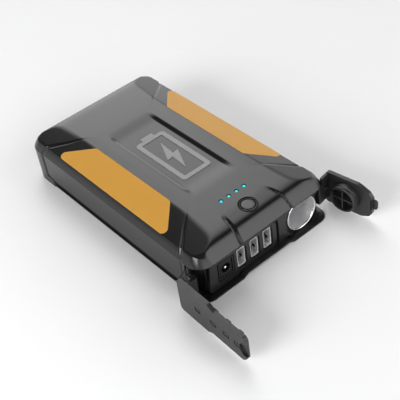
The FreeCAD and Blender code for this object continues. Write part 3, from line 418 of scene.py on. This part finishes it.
# The back and front creases, at distances from the middle plane, and the flank between them: where
# its sinking starts and where it is full, and its depth.
CREASE_X = [23.0, 36.0, 45.0, 50.5]
BACK_CREASE = [45.5, 56.0, 64.8, 71.0]
FRONT_CREASE = [-48.0, -58.0, -66.0, -70.0]
FLANK, FLANK_EDGE, FLANK_DEPTH = 23.0, 46.0, 0.5

# The sunken panel: half its width, the run of its sloping sides, its depth, and where its ends start
# and over what length they fade in.
RECESS_EDGE, RECESS_RUN, RECESS_DEPTH = 17.5, 2.8, 1.15
RECESS_FRONT, RECESS_BACK = -46.0, 42.0
FRONT_FADE, BACK_FADE = 15.0, 12.0


def relief(x, y):
    """How far the surface is sunk below the plain form, along its normal."""
    ax = np.abs(x)
    back, front = np.interp(ax, CREASE_X, BACK_CREASE), np.interp(ax, CREASE_X, FRONT_CREASE)
    # The flanks between the creases are sunk, less so at their outer edge, with a groove at each crease.
    reach = ramp(ax, FLANK, FLANK_EDGE - FLANK) - 0.4 * ramp(ax, FLANK_EDGE, 4.0)
    inside = smooth_step(back - y, -0.3, 0.3) * smooth_step(y - front, -0.3, 0.3)
    sunk = FLANK_DEPTH * reach * inside
    groove = 0.65 * ramp(ax, 25.0, 18.0)
    width = 0.45 + 0.45 * ramp(ax, 25.0, 22.0)
    for line, towards in ((back, 1), (front, -1)):
        sunk = sunk + groove * np.exp(-((y - line - 0.3 * towards) / width) ** 2)
    ends = smooth_step(y - RECESS_FRONT, 0, FRONT_FADE) * smooth_step(RECESS_BACK - y, 0, BACK_FADE)
    sunk = sunk + RECESS_DEPTH * ends * np.clip((RECESS_EDGE - ax) / RECESS_RUN, 0, 1)
    # The middle of the front slope is set back between two fading slots, which lean outwards.
    left, right = -16.0 - 0.14 * (-66 - y), 17.0 + 0.24 * (-70 - y)
    fade = smooth_step(-y, 67.0, 76.0)
    step = 0.45 * fade * smooth_step(x - left, -0.4, 0.4) * smooth_step(right - x, -0.4, 0.4)
    slots = fade * (0.8 * np.exp(-((x - left) / 1.0) ** 2) + 0.6 * np.exp(-((x - right) / 0.6) ** 2))
    return sunk + np.where(y < -60, step + slots, 0)


def grid_lines(low, high, coarse, dense):
    """Even lines from low to high, closer together inside the (from, to, spacing) stretches."""
    tiny = 1e-6
    out = [low]
    while out[-1] < high - tiny:
        here = out[-1] + tiny
        spacing = min([gap for start, end, gap in dense if start <= here < end] or [coarse])
        stops = [start for start, _, _ in dense if start > here] + [high]
        out.append(min(out[-1] + spacing, min(stops)))
    return out


def perimeter(inset, xs, ys, arc):
    """Points round the casing's plan at an inset, anticlockwise from above, from the front left."""
    cx, cy, r = HALF_X - CORNER, HALF_Y - CORNER, CORNER - inset
    out = []

    def corner(sx, sy, start):
        for k in range(1, arc):
            angle = start + math.pi / 2 * k / arc
            out.append((sx * cx + r * math.cos(angle), sy * cy + r * math.sin(angle)))

    out += [(x, -(HALF_Y - inset)) for x in xs]
    corner(1, -1, -math.pi / 2)
    out += [(HALF_X - inset, y) for y in ys]
    corner(1, 1, 0.0)
    out += [(x, HALF_Y - inset) for x in reversed(xs)]
    corner(-1, 1, math.pi / 2)
    out += [(-(HALF_X - inset), y) for y in reversed(ys)]
    corner(-1, -1, math.pi)
    return out


def wall_foot(y, start):
    """Lower edge of the top shell's wall: cut back over the ports and slanted at the hinges."""
    foot = float(np.interp(y, [-200, -73.6, -73.4, -72.6, -64.0, -63.9, 200],
                           [BROW_FOOT, BROW_FOOT, BROW_FOOT, 20.0, SEAM, SEAM, SEAM]))
    return min(foot, start - 0.3)


def build_top_shell():
    """Roof from a grid and rings, its wall, its details sunk into it, then its thickness."""
    xs = grid_lines(-40, 40, 1.0, [(-40, -12, 0.45), (12, 40, 0.45)])
    ys = grid_lines(-76.4, 76.4, 1.2, [(-76.4, -45, 0.45), (-45, -30, 0.9), (30, 43, 0.9), (43, 73, 0.45)])
    arc = 12
    edge_ceiling, ceiling = 24.0, 29.3
    insets = [9.5, 9.0, 8.5, 8.0, 7.5, 7.0, 6.5, 6.0, 5.5, 5.0, 4.5, 4.0, 3.6, 3.3, 3.0, 2.7, 2.4, 2.1, 1.7,
              1.3, 0.9, 0.5, 0.25, 0.1, 0.0]
    levels = [0.02, 0.10, 0.3, 0.6, 0.85, 0.97, 1.0]
    points, faces = [], []
    place = {}
    for i, x in enumerate(xs):
        for j, y in enumerate(ys):
            place[i, j] = len(points)
            points.append((x, y, 0.0))
    for i in range(len(xs) - 1):
        for j in range(len(ys) - 1):
            faces.append((place[i, j], place[i + 1, j], place[i + 1, j + 1], place[i, j + 1]))
    # The innermost ring lies on the grid's own border.
    nx, ny = len(xs), len(ys)
    ring = [place[i, 0] for i in range(nx)] + [place[nx - 1, 0]] * (arc - 1)
    ring += [place[nx - 1, j] for j in range(ny)] + [place[nx - 1, ny - 1]] * (arc - 1)
    ring += [place[i, ny - 1] for i in reversed(range(nx))] + [place[0, ny - 1]] * (arc - 1)
    ring += [place[0, j] for j in reversed(range(ny))] + [place[0, 0]] * (arc - 1)

    def stitch(one, two):
        for k in range(len(one)):
            after = (k + 1) % len(one)
            face = []
            for corner in (one[k], two[k], two[after], one[after]):
                if corner not in face:
                    face.append(corner)
            if len(face) > 2:
                faces.append(tuple(face))

    for inset in insets:
        new = []
        for x, y in perimeter(inset, xs, ys, arc):
            new.append(len(points))
            points.append((x, y, 0.0))
        stitch(ring, new)
        ring = new
    heights = roof(*np.array(points).T[:2])
    points = [(x, y, z) for (x, y, _), z in zip(points, heights)]
    rim = perimeter(0.0, xs, ys, arc)
    top = np.array([points[k][2] for k in ring])
    for level in levels:
        new = []
        for (x, y), start in zip(rim, top):
            new.append(len(points))
            points.append((x, y, start + (wall_foot(y, start) - start) * level))
        stitch(ring, new)
        ring = new
    # Sink the details along the surface's own normals.
    bm = bmesh.new()
    made = [bm.verts.new(p) for p in points]
    for face in faces:
        bm.faces.new([made[k] for k in face])
    bmesh.ops.recalc_face_normals(bm, faces=bm.faces)
    bm.normal_update()
    for vertex, sink in zip(made, relief(*np.array(points).T[:2])):
        vertex.co -= vertex.normal * float(sink)
    outer = [tuple(v.co) for v in made]
    bm.free()
    # The wall's foot, its inner face up to the ceiling's edge, and the plain ceiling.
    for inset, lift, least in ((1.9, 0.0, 0), (2.2, 0.2, 0), (2.5, 0.3, edge_ceiling), (6.0, 0.3, ceiling)):
        new = []
        for k, (x, y) in zip(ring, perimeter(inset, xs, ys, arc)):
            new.append(len(outer))
            outer.append((x, y, max(least, outer[k][2] + lift)))
        stitch(ring, new)
        ring = new
    faces.append(tuple(ring))
    made = link("top_shell_form", to_mesh("top_shell_form", [(outer, faces)]))
    holes = [disc(0, BUTTON_Y, 5.95, 64)] + [disc(*at, 1.35, 24) for at in LED_PLACES]
    combine(made, [prism(hole, "Z", 29.0, 40.0) for hole in holes])
    dress(made, "casing", "casing", ["top_shell"], crease=30)
    return made


build_top_shell()


# ---------------------------------------------------------------- inlays and pictogram

def build_inlay(name, side):
    """Orange plate that follows the side slope of the roof and its sunken flank."""
    outer_x, inner_x, corner = 46.7, 28.6, 2.7
    outer_z, slope = 30.72, 0.2475
    proud, thick = 0.12, 0.8
    corners = [(outer_x, -55.5), (inner_x, -37.5), (inner_x, 35.6), (outer_x, 58.0)]
    outline = rounded([(side * x, y, corner) for x, y in corners], 8)

    def height(x):
        return outer_z + (outer_x - abs(x)) * slope - FLANK_DEPTH * (abs(x) - FLANK) / (FLANK_EDGE - FLANK)

    rings = [[(x, y, height(x) + lift) for x, y in outline] for lift in (proud - thick, proud)]
    piece(name + "_skin", [stacked(rings)], "casing", "inlay", [name], bevel=0.12, limit=50)


build_inlay("left_inlay", -1)
build_inlay("right_inlay", 1)


def build_badge():
    """Generic battery pictogram: a frame, its terminal and a bolt."""
    low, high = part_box("panel_badge")
    x = high.x / MM
    front, back = low.y / MM, high.y / MM
    line = 3.0
    body_back = back - line
    base_z, top_z = 34.0, 34.43
    border = prism(rectangle(-x, x, front, body_back, 2.5), "Z", base_z, top_z)
    hole = prism(rectangle(-x + line, x - line, front + line, body_back - line, 1.0), "Z", 33, 36)
    terminal = prism(rectangle(-4.5, 4.5, body_back - 0.2, back, 0.6), "Z", base_z, top_z)
    # One half of the bolt; the other is the same, turned by half a turn about the body's middle.
    tip = (body_back - front) / 2 * 0.63
    half = [(5.5, 2.0), (1.2, 1.2), (2.2, tip)]
    middle = (front + body_back) / 2
    bolt_outline = [(u, v + middle) for u, v in half + [(-u, -v) for u, v in half]]
    bolt = prism(bolt_outline, "Z", base_z, top_z)
    piece("pictogram", [border], "casing", "print", ["panel_badge"], [[hole]], bevel=0.06)
    piece("pictogram_terminal", [terminal], "casing", "print", bevel=0.06)
    piece("pictogram_bolt", [bolt], "casing", "print", bevel=0.06)


build_badge()


# ---------------------------------------------------------------- button and lights

def build_button():
    at = (0, BUTTON_Y)
    bezel = [(4.75, 32.0), (4.75, 34.3), (4.9, 34.5), (5.15, 34.53), (5.35, 34.35), (5.35, 33.2),
             (5.9, 33.0), (5.9, 32.0)]
    piece("button_bezel_ring", [lathe(bezel, "Z", at, 96)], "casing", "casing_dark", ["button_bezel"],
          crease=50)
    cap = [(0, 31.9), (4.2, 31.9), (4.3, 32.2), (4.3, 34.0), (4.12, 34.32), (3.8, 34.4), (2.0, 34.36),
           (0, 34.34)]
    piece("button_cap", [lathe(cap, "Z", at, 96)], "button", "casing", ["power_button"], crease=50)
    dome = [(0, 31.0), (0.9, 31.0), (0.9, 34.4), (0.8, 34.62), (0.5, 34.76), (0, 34.8)]
    lenses = [lathe(dome, "Z", led, 24) for led in LED_PLACES]
    piece("charge_lights", lenses, "casing", "light_lens", ["led_lenses"], crease=50)


build_button()


# ---------------------------------------------------------------- bottom shell

LIP_FRONT, LIP_TOP = -87.5, 0.9
SCREW_X, SCREW_Y = 45.3, 64.0
PAD_X, PAD_Y = 36.0, 60.0
WELL_X, WELL_BACK, WELL_WALL = 43.0, -71.8, 1.1


def bottom_block():
    """Wall block up to the seam: a foot edge that stands out below the set-back sides."""
    xs = grid_lines(-40, 40, 4.0, [])
    ys = grid_lines(-76.4, 76.4, 4.0, [(-66, -60, 0.5), (60, 68, 0.5)])
    foot_set_back, side_set_back = 0.5, 1.5

    def ring(inset, z, set_back):
        out = []
        for x, y in perimeter(inset, xs, ys, 10):
            inner = set_back * float(smooth_step(64.8 - abs(y), 0.0, 1.2)) if abs(x) > 45 else 0.0
            out.append((math.copysign(abs(x) - inner, x), y, z))
        return out

    edge = [(0.7, 0.0), (0.3, 0.1), (0.05, 0.3), (0.0, 0.5), (0.0, 1.35)]
    rings = [ring(inset, z, foot_set_back) for inset, z in edge]
    return stacked(rings + [ring(0.0, z, side_set_back) for z in (1.45, SEAM)])


def build_bottom_shell():
    made = link("bottom_shell_form", to_mesh("bottom_shell_form", [bottom_block()]))
    # Hollowed, then opened at the port end and at the two hinge wells.
    combine(made, [prism(rectangle(-46.3, 46.3, -84.2, 84.2, 6), "Z", 2.2, 9.0)])
    combine(made, [box((-60, 60), (-95, FACE_BACK), (LIP_TOP, 9.0))])
    combine(made, [box(side, (-95, WELL_BACK), (1.2, 9.0)) for side in ((-60, -WELL_X), (WELL_X, 60))])
    # The lip under the ports, which steps up in the middle.
    lip = rounded([(-50, LIP_FRONT, 10), (50, LIP_FRONT, 10), (50, -72, 0), (-50, -72, 0)], 10)
    combine(made, [prism(lip, "Z", 0.0, LIP_TOP)], "UNION")
    step = [(20.0, 0.9), (16.0, 2.9), (-17.0, 2.9), (-21.0, 0.9), (-21.0, 0.3), (20.0, 0.3)]
    combine(made, [prism(step, "Y", LIP_FRONT, -80.0)], "UNION")
    under = [(20.0, 0.0), (16.0, 2.0), (-17.0, 2.0), (-21.0, 0.0), (-21.0, -1.0), (20.0, -1.0)]
    combine(made, [prism(under, "Y", AHEAD, FACE)])
    combine(made, [prism(disc(sx * SCREW_X, sy * SCREW_Y, 2.4, 32), "Z", -1.0, 1.3) for sx, sy in SIGNS])
    combine(made, [prism(around(sx * PAD_X, sy * PAD_Y, 7, 3, 3.0), "Z", -1.0, 0.35) for sx, sy in SIGNS])
    soften(made, 0.25, 40, 2)
    dress(made, "casing", "casing_dark", ["bottom_shell"], crease=40)
    pads = [prism(around(sx * PAD_X, sy * PAD_Y, 6.7, 2.7, 2.7), "Z", 0.02, 0.9) for sx, sy in SIGNS]
    piece("rubber_feet", pads, "casing", "cover_rubber", bevel=0.1)


build_bottom_shell()


def build_hinge_wells():
    """Walls that close the casing behind each open corner, and the stubs above and below each hinge."""
    inner = WELL_X - WELL_WALL
    solids = []
    for side in (-1, 1):
        for x, y, z in (((inner, WELL_X), (FACE_BACK, -70.7), (LIP_TOP, 24.7)),
                        ((inner, 48.6), (WELL_BACK, -70.7), (LIP_TOP, 24.6)),
                        ((45.6, 48.9), (-71.0, -62.0), (2.0, 24.5))):
            solids.append(box(sorted(side * value for value in x), y, z))
    radius, point, gap, foot, top = 1.05, 0.9, 0.4, 0.4, 24.2
    for at, arm_top in ((FLAP_HINGE, FLAP_ARM_TOP), (CAP_HINGE, CAP_ARM_TOP)):
        low, high = ARM_FOOT - gap, arm_top + gap
        lower = [(0, foot), (radius, foot), (radius, low - 0.2), (point, low), (0, low)]
        upper = [(0, high), (point, high), (radius, high + 0.2), (radius, top), (0, top)]
        solids += [lathe(stub, "Z", at, 32) for stub in (lower, upper)]
    piece("hinge_wells", solids, "casing", "casing_dark", bevel=0.15)


build_hinge_wells()


# ---------------------------------------------------------------- port face

def build_fascia():
    outline = rounded([(-43.0, 1.6, 2.2), (42.9, 1.0, 1.0), (42.9, BROW_FOOT, 0.6), (-40.6, BROW_FOOT, 1.6)])
    made = link("fascia_form", to_mesh("fascia_form", [prism(outline, "Y", FACE, FACE_BACK)]))
    combine(made, [prism([(-23.0, 0.0), (-20.0, 3.0), (19.4, 3.0), (22.0, 0.0)], "Y", *THROUGH)])
    windows = [around(x, PORT_Z, 3.15, 6.85, 1.2) for x in USB_X]
    windows.append(around(DC_X, PORT_Z, 4.9, 5.6, 0.8))
    windows.append(disc(SOCKET_X, PORT_Z, 11.75, 96))
    combine(made, [prism(window, "Y", *THROUGH) for window in windows])
    # Shallow rims sunk round the USB ports and the jack.
    rims = [prism(around(x, PORT_Z, 3.9, 7.5, 1.6), "Y", AHEAD, -82.9) for x in USB_X]
    rims.append(prism(around(DC_X, PORT_Z, 6.4, 7.1, 1.0), "Y", AHEAD, -82.7))
    combine(made, rims)
    border = prism(around(DC_X, PORT_Z, 5.6, 6.3, 0.8), "Y", FACE, -82.2)
    inside = prism(around(DC_X, PORT_Z, 4.9, 5.6, 0.6), "Y", *THROUGH)
    piece("dc_jack_frame", [border], "casing", "casing_dark", cuts=[[inside]], bevel=0.12)
    # Deep seat of the cap round the socket, and the groove that ends the flap's seat.
    seat = [(11.0, AHEAD), (14.0, AHEAD), (13.7, -82.2), (11.0, -82.2)]
    combine(made, [lathe(seat, "Y", (SOCKET_X, PORT_Z), 96)])
    groove = [(8.0, 3.6, 0.4), (9.6, 5.0, 1.2), (9.6, 19.6, 1.0), (7.2, 21.8, 0.4), (7.2, 22.9, 0.4),
              (9.2, 22.9, 1.0), (11.4, 20.6, 1.4), (11.4, 4.4, 1.4), (9.4, 2.4, 0.5), (8.0, 2.4, 0.3)]
    combine(made, [prism(rounded(groove, 4), "Y", AHEAD, -82.3)])
    soften(made, 0.25, 40, 2)
    dress(made, "casing", "casing_dark", ["port_fascia"], crease=40)


build_fascia()


def build_dc_jack():
    at = (DC_X, PORT_Z)
    hole_end = -73.0
    front = prism(around(*at, 4.45, 5.2, 0.6), "Y", -83.2, -70.0)
    made = link("dc_jack_front", to_mesh("dc_jack_front", [front]))
    combine(made, [prism(disc(*at, 3.2, 48), "Y", AHEAD, hole_end)])
    soften(made, 0.18, 40, 2)
    dress(made, "casing", "black_plastic", ["dc_jack_body"], crease=45)
    pin = [(0, -83.05), (0.6, -82.95), (0.95, -82.6), (1.05, -82.2), (1.05, hole_end), (0, hole_end)]
    piece("dc_jack_centre", [lathe(pin, "Y", at, 32)], "casing", "chrome", ["dc_jack_pin"], crease=50)


build_dc_jack()


def build_usb(tag, x):
    """Folded metal shell with two spring windows, the tongue in it and the tongue's four contacts."""
    shell = prism(around(x, PORT_Z, 2.85, 6.55, 0.7), "Y", -83.0, -69.0)
    made = link(f"usb_shell_{tag}_skin", to_mesh("usb", [shell]))
    combine(made, [prism(around(x, PORT_Z, 2.5, 6.2, 0.45), "Y", AHEAD, -70.4)])
    windows = [rectangle(x + 2.2, x + 2.9, PORT_Z + up - 1.1, PORT_Z + up + 1.1) for up in (-3.0, 3.0)]
    combine(made, [prism(window, "Y", -80.5, -77.5) for window in windows])
    soften(made, 0.08, 40, 2)
    # The shell's pale steel is painted light inside the port.
    dress(made, "casing", "steel", [f"usb_shell_{tag}"], crease=40, look="steel_with_painted_light")
    tongue = prism(rectangle(x - 2.05, x - 0.15, PORT_Z - 5.5, PORT_Z + 5.5, 0.3), "Y", -80.6, -70.5)
    piece(f"usb_tongue_{tag}_skin", [tongue], "casing", "black_plastic", [f"usb_tongue_{tag}"], bevel=0.15)
    strips = [box((x - 0.16, x - 0.05), (-80.0, -72.0), (PORT_Z + up - 0.5, PORT_Z + up + 0.5))
              for up in (-3.5, -1.2, 1.2, 3.5)]
    piece(f"usb_contacts_{tag}", strips, "casing", "brass", bevel=0.03)


for tag, usb_x in zip(("left", "middle", "right"), USB_X):
    build_usb(tag, usb_x)


def build_socket():
    at = (SOCKET_X, PORT_Z)
    bore, wall, front, back = 10.5, 0.5, -82.6, -48.2
    ring = [(bore, front), (10.55, -82.9), (10.8, -83.25), (11.15, -83.4), (11.5, -83.3), (11.7, -83.0),
            (11.7, front)]
    piece("socket_trim", [lathe(ring, "Y", at, 96)], "casing", "chrome", ["socket_ring"], crease=60)
    barrel = [(bore, front), (bore, back), (bore + wall, back), (bore + wall, front)]
    # The liner's pale steel is painted light inside the bore.
    piece("socket_liner", [lathe(barrel, "Y", at, 96)], "casing", "steel", ["socket_barrel"], crease=40,
          look="steel_with_painted_light")


build_socket()


# ---------------------------------------------------------------- covers

# The covers are drawn closed, over the ports, and then swung to their open rest place.

def turned(point, at, degrees):
    """A point turned about the upright axis through at."""
    cosine, sine = math.cos(math.radians(degrees)), math.sin(math.radians(degrees))
    dx, dy = point[0] - at[0], point[1] - at[1]
    return (at[0] + cosine * dx - sine * dy, at[1] + sine * dx + cosine * dy, point[2])


def open_flap(point):
    return turned(point, FLAP_HINGE, FLAP_OPEN)


def open_cap(point):
    return turned(point, CAP_HINGE, CAP_OPEN)


def add_eye(made, hinge, top):
    """Round eye of a cover's arm, with the hole for its pin."""
    eye = [(0, ARM_FOOT), (EYE_RADIUS, ARM_FOOT), (EYE_RADIUS, top), (0, top)]
    combine(made, [lathe(eye, "Z", hinge, 40)], "UNION")
    combine(made, [prism(disc(*hinge, PIN_RADIUS, 32), "Z", ARM_FOOT - 1, top + 1)])


MARK_X, MARK_Z = (-28.5, -15.5, -5.0, 4.0), 12.5


def build_flap():
    outline = rounded([(-44.8, 1.4, 2.6), (-21.2, 1.4, 3.0), (-17.0, 3.4, 3.0), (7.8, 3.4, 2.0),
                       (10.8, 6.4, 2.0), (10.8, 20.9, 1.5), (9.3, 22.4, 1.5), (-14.2, 22.4, 2.0),
                       (-19.0, 24.7, 2.0), (-44.8, 24.7, 1.5)])
    made = link("port_flap_skin", to_mesh("flap", [prism(outline, "Y", COVER_OUT, COVER_IN)]))
    # The hollow that takes the cap's tab.
    pocket = [(5.0, 12.6, 0.6), (7.4, 17.0, 1.6), (12.0, 17.3, 0), (12.0, 7.8, 0), (7.4, 8.0, 1.6)]
    combine(made, [prism(rounded(pocket, 4), "Y", AHEAD, -84.9)])
    combine(made, [prism(around(x, MARK_Z, 2.5, 1.5, 0.7, 3), "Y", AHEAD, -86.0) for x in MARK_X])
    # The shallow dish on the inner side.
    dish = [(-43.2, 2.8, 2), (-22, 2.8, 2), (-17.6, 4.8, 2), (2.0, 4.8, 1), (2.0, 21.0, 1),
            (-14.8, 21.0, 2), (-19.4, 23.3, 2), (-43.2, 23.3, 1)]
    combine(made, [prism(rounded(dish, 4), "Y", -84.2, -80)])
    soften(made, 0.35, 40)
    move_mesh(made, open_flap)
    dress(made, "flap", "cover_rubber", ["port_flap"], crease=40)

    # Plain raised marks in place of the moulded port signs: one round, three oblong.
    marks = [prism(around(x, MARK_Z, 1.8, 0.8, 0.4, 3), "Y", -86.3, -85.9) for x in MARK_X[1:]]
    spot = [(0, -86.3), (0.95, -86.3), (0.95, -85.9), (0, -85.9)]
    marks.append(lathe(spot, "Y", (MARK_X[0], MARK_Z), 24))
    piece("flap_marks", [moved(mark, open_flap) for mark in marks], "flap", "cover_rubber", bevel=0.05)

    plugs = [prism(around(x, PORT_Z, 1.9, 5.4, 0.9), "Y", -84.3, -81.3) for x in USB_X]
    sleeve = [(1.45, -84.3), (1.45, -82.5), (2.0, -82.5), (2.2, -82.8), (2.2, -84.3)]
    plugs.append(lathe(sleeve, "Y", (DC_X, PORT_Z), 40))
    piece("flap_plugs", [moved(plug, open_flap) for plug in plugs], "flap", "cover_rubber", bevel=0.3,
          limit=50)

    outline = rounded([(-45.6, -84.2, 0), (-45.6, -76.6, 0.4), (-48.9, -76.5, 1.4), (-48.9, -73.5, 0.8),
                       (-43.6, -73.5, 0.8), (-43.6, -84.2, 0)], 5)
    arm = link("flap_arm", to_mesh("flap_arm", [prism(outline, "Z", ARM_FOOT, FLAP_ARM_TOP)]))
    add_eye(arm, FLAP_HINGE, FLAP_ARM_TOP)
    soften(arm, 0.2, 40, 2)
    move_mesh(arm, open_flap)
    dress(arm, "flap", "cover_rubber", crease=40)


build_flap()


def build_cap_plug():
    """Cup with a rounded lip and two crossed ribs, cut away on its hinge side so that it can swing in."""
    cup = [(0, -84.0), (9.4, -84.0), (9.45, -83.2), (9.15, -80.9), (8.75, -80.7), (8.75, -80.2),
           (9.0, -79.9), (8.95, -78.9), (8.6, -78.45), (8.2, -78.3), (7.75, -78.45), (7.6, -78.9),
           (7.5, -83.6), (0, -83.6)]
    made = link("cap_plug", to_mesh("cap_plug", [lathe(cup, "Y", (SOCKET_X, PORT_Z), 96)]))
    half_rib, half_long, swing = 0.45, 7.9, 12.0
    for half_x, half_z in ((half_rib, half_long), (half_long, half_rib)):
        rib = box((SOCKET_X - half_x, SOCKET_X + half_x), (-84.0, -79.2), (PORT_Z - half_z, PORT_Z + half_z))
        combine(made, [rib], "UNION")
    combine(made, [prism(disc(*CAP_HINGE, swing, 96), "Z", -1, 30)])
    soften(made, 0.12, 50, 2)
    return made


def build_cap_arm():
    outline = rounded([(45.6, -84.2, 0), (45.6, -77.2, 0.4), (48.8, -77.1, 1.4), (48.8, -74.1, 0.8),
                       (43.6, -74.1, 0.8), (43.6, -84.2, 0)], 5)
    made = link("cap_arm", to_mesh("cap_arm", [prism(outline, "Z", ARM_FOOT, CAP_ARM_TOP)]))
    combine(made, [box((43.8, 45.4), (-84.2, -77.4), (19.0, 24.0))], "UNION")
    add_eye(made, CAP_HINGE, CAP_ARM_TOP)
    combine(made, [prism(rectangle(-82.2, -79.6, 13.5, 17.5, 0.6), "X", 40, 47)])
    soften(made, 0.2, 40, 2)
    return made


def build_cap():
    outline = rounded([(45.8, 1.4, 2.0), (20.6, 1.4, 5.0), (15.2, 3.65, 3.0), (13.1, 6.85, 2.0),
                       (13.1, 18.2, 2.0), (15.6, 21.4, 3.0), (23.0, 24.7, 5.0), (45.8, 24.7, 2.0)])
    made = link("socket_cap_skin", to_mesh("cap", [prism(outline, "Y", COVER_OUT, COVER_IN)]))
    tab = rounded([(10.5, 9.65, 2.4), (14.0, 9.65, 0), (14.0, 16.45, 0), (10.5, 16.45, 2.4)])
    combine(made, [prism(tab, "Y", COVER_OUT, -85.2)], "UNION")
    combine(made, [box((13.5, 14.3), (-84.9, -80), (9.2, 16.9))])
    ridges = [box((x, x + 0.8), (-84.2, -83.65), (2.8, 23.3)) for x in (42.6, 40.6)]
    combine(made, ridges, "UNION")
    soften(made, 0.35, 40)
    plug, arm = build_cap_plug(), build_cap_arm()
    for part in (made, plug, arm):
        move_mesh(part, open_cap)
    dress(made, "cap", "cover_rubber", ["socket_cap"], crease=40)
    dress(plug, "cap", "cover_rubber", crease=40)
    dress(arm, "cap", "cover_rubber", crease=40)


build_cap()


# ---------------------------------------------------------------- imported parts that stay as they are

slots = {row["node"]: row["material_slot"] for row in frame["record"]["subparts"]}
for node, part in frame["nodes"].items():
    look = LOOK[slots[node]]
    if not part.material_slots:
        part.data.materials.append(look)
    for held in part.material_slots:
        held.material = look


# ---------------------------------------------------------------- floor, light and camera

def build_stage():
    mesh = bpy.data.meshes.new("floor")
    reach = 6.0
    corners = [(-reach, -reach, 0), (reach, -reach, 0), (reach, reach, 0), (-reach, reach, 0)]
    mesh.from_pydata(corners, [], [(0, 1, 2, 3)])
    floor = link("floor", mesh)
    mesh.materials.append(finish("floor_paper", (0.94, 0.94, 0.94), 0.8, grain=1.0, bump=0.004, mottle=0.006,
                                 patch=60, specular=0.2))


def build_softbox():
    """Area lamp on the left, turned to the frame's origin; its place and size are in metres."""
    light = bpy.data.lights.new("left_softbox", "AREA")
    light.shape = "RECTANGLE"
    light.size, light.size_y = 0.9, 0.6
    light.energy = 16
    place = Vector((-1.3, -0.15, 0.62))
    made = link("left_softbox", light)
    made.location = place
    made.rotation_mode = "QUATERNION"
    made.rotation_quaternion = (-place).to_track_quat("-Z", "Y")


def build_surroundings():
    """Soft studio: bright walls on the right and in front, under a dark ceiling.

    Every fade is over one part of the direction looked in, from -1 to 1: X to the right, Y to the back
    and Z up.
    """
    world = bpy.data.worlds.new("studio")
    world.use_nodes = True
    tree = world.node_tree
    split = tree.nodes.new("ShaderNodeSeparateXYZ")
    tree.links.new(tree.nodes.new("ShaderNodeTexCoord").outputs["Generated"], split.inputs[0])

    def fade(axis, start, end, low, high):
        """low up to start, high from end on, and smooth between them."""
        curve = tree.nodes.new("ShaderNodeMapRange")
        curve.interpolation_type = "SMOOTHSTEP"
        for key, value in (("From Min", start), ("From Max", end), ("To Min", low), ("To Max", high)):
            curve.inputs[key].default_value = value
        tree.links.new(split.outputs[axis], curve.inputs["Value"])
        return curve.outputs["Result"]

    def joined(operation, first, second):
        step = tree.nodes.new("ShaderNodeMath")
        step.operation = operation
        tree.links.new(first, step.inputs[0])
        tree.links.new(second, step.inputs[1])
        return step.outputs[0]

    # The right wall is lit at every height towards the back, up to Z 0.8 in front and 0.6 all along.
    back = fade("Y", -0.25, 0.60, 0.0, 1.0)
    brow = joined("MULTIPLY", fade("Z", 0.60, 0.80, 1.0, 0.0), fade("Y", -0.35, -0.60, 0.0, 1.0))
    low = fade("Z", 0.45, 0.60, 1.0, 0.0)
    lit = joined("MAXIMUM", joined("MAXIMUM", back, brow), low)
    right = joined("MULTIPLY", fade("X", -0.05, 0.40, 0.0, 3.3), lit)
    # Its far end is dimmed, except close to the floor.
    dimmed = joined("MAXIMUM", fade("X", 0.48, 0.64, 1.0, 0.3), fade("Z", 0.20, 0.34, 1.0, 0.0))
    right = joined("MULTIPLY", right, dimmed)
    # The low front wall, weaker towards its left end.
    front = joined("MULTIPLY", fade("Y", -0.10, -0.55, 0.0, 2.9), fade("Z", 0.34, 0.64, 1.0, 0.0))
    front = joined("MULTIPLY", front, fade("X", -0.80, -0.35, 0.35, 1.0))
    # Both are weaker near the horizon. An even fill is strongest there and faint above it.
    bright = joined("MULTIPLY", joined("MAXIMUM", right, front), fade("Z", 0.06, 0.28, 0.4, 1.0))
    level = joined("MAXIMUM", bright, fade("Z", 0.08, 0.30, 0.5, 0.06))
    tree.links.new(level, tree.nodes["Background"].inputs["Strength"])
    tree.nodes["Background"].inputs["Color"].default_value = (1, 1, 1, 1)
    bpy.context.scene.world = world


def build_camera():
    """The photo's view: the point aimed at, how far off, and the side, height and tilt it is seen from.

    The angles were solved from the casing's edges, with its size as given above.
    """
    aim, distance = Vector((-6.77, -35.81, 20.0)), 532.3
    azimuth, elevation, roll = (math.radians(angle) for angle in (-124.945, 41.576, -8.881))
    view = bpy.data.cameras.new("camera")
    view.lens, view.sensor_width = 80.2, 36.0
    view.clip_start, view.clip_end = 0.02, 20
    camera = link("camera", view)
    level = math.cos(elevation)
    back = Vector((level * math.cos(azimuth), level * math.sin(azimuth), math.sin(elevation)))
    turn = back.to_track_quat("Z", "Y").to_matrix().to_4x4() @ Matrix.Rotation(roll, 4, "Z")
    camera.matrix_world = Matrix.Translation((aim + back * distance) * MM) @ turn
    bpy.context.scene.camera = camera


build_stage()
build_softbox()
build_surroundings()
build_camera()
bpy.context.scene.view_settings.view_transform = "Standard"
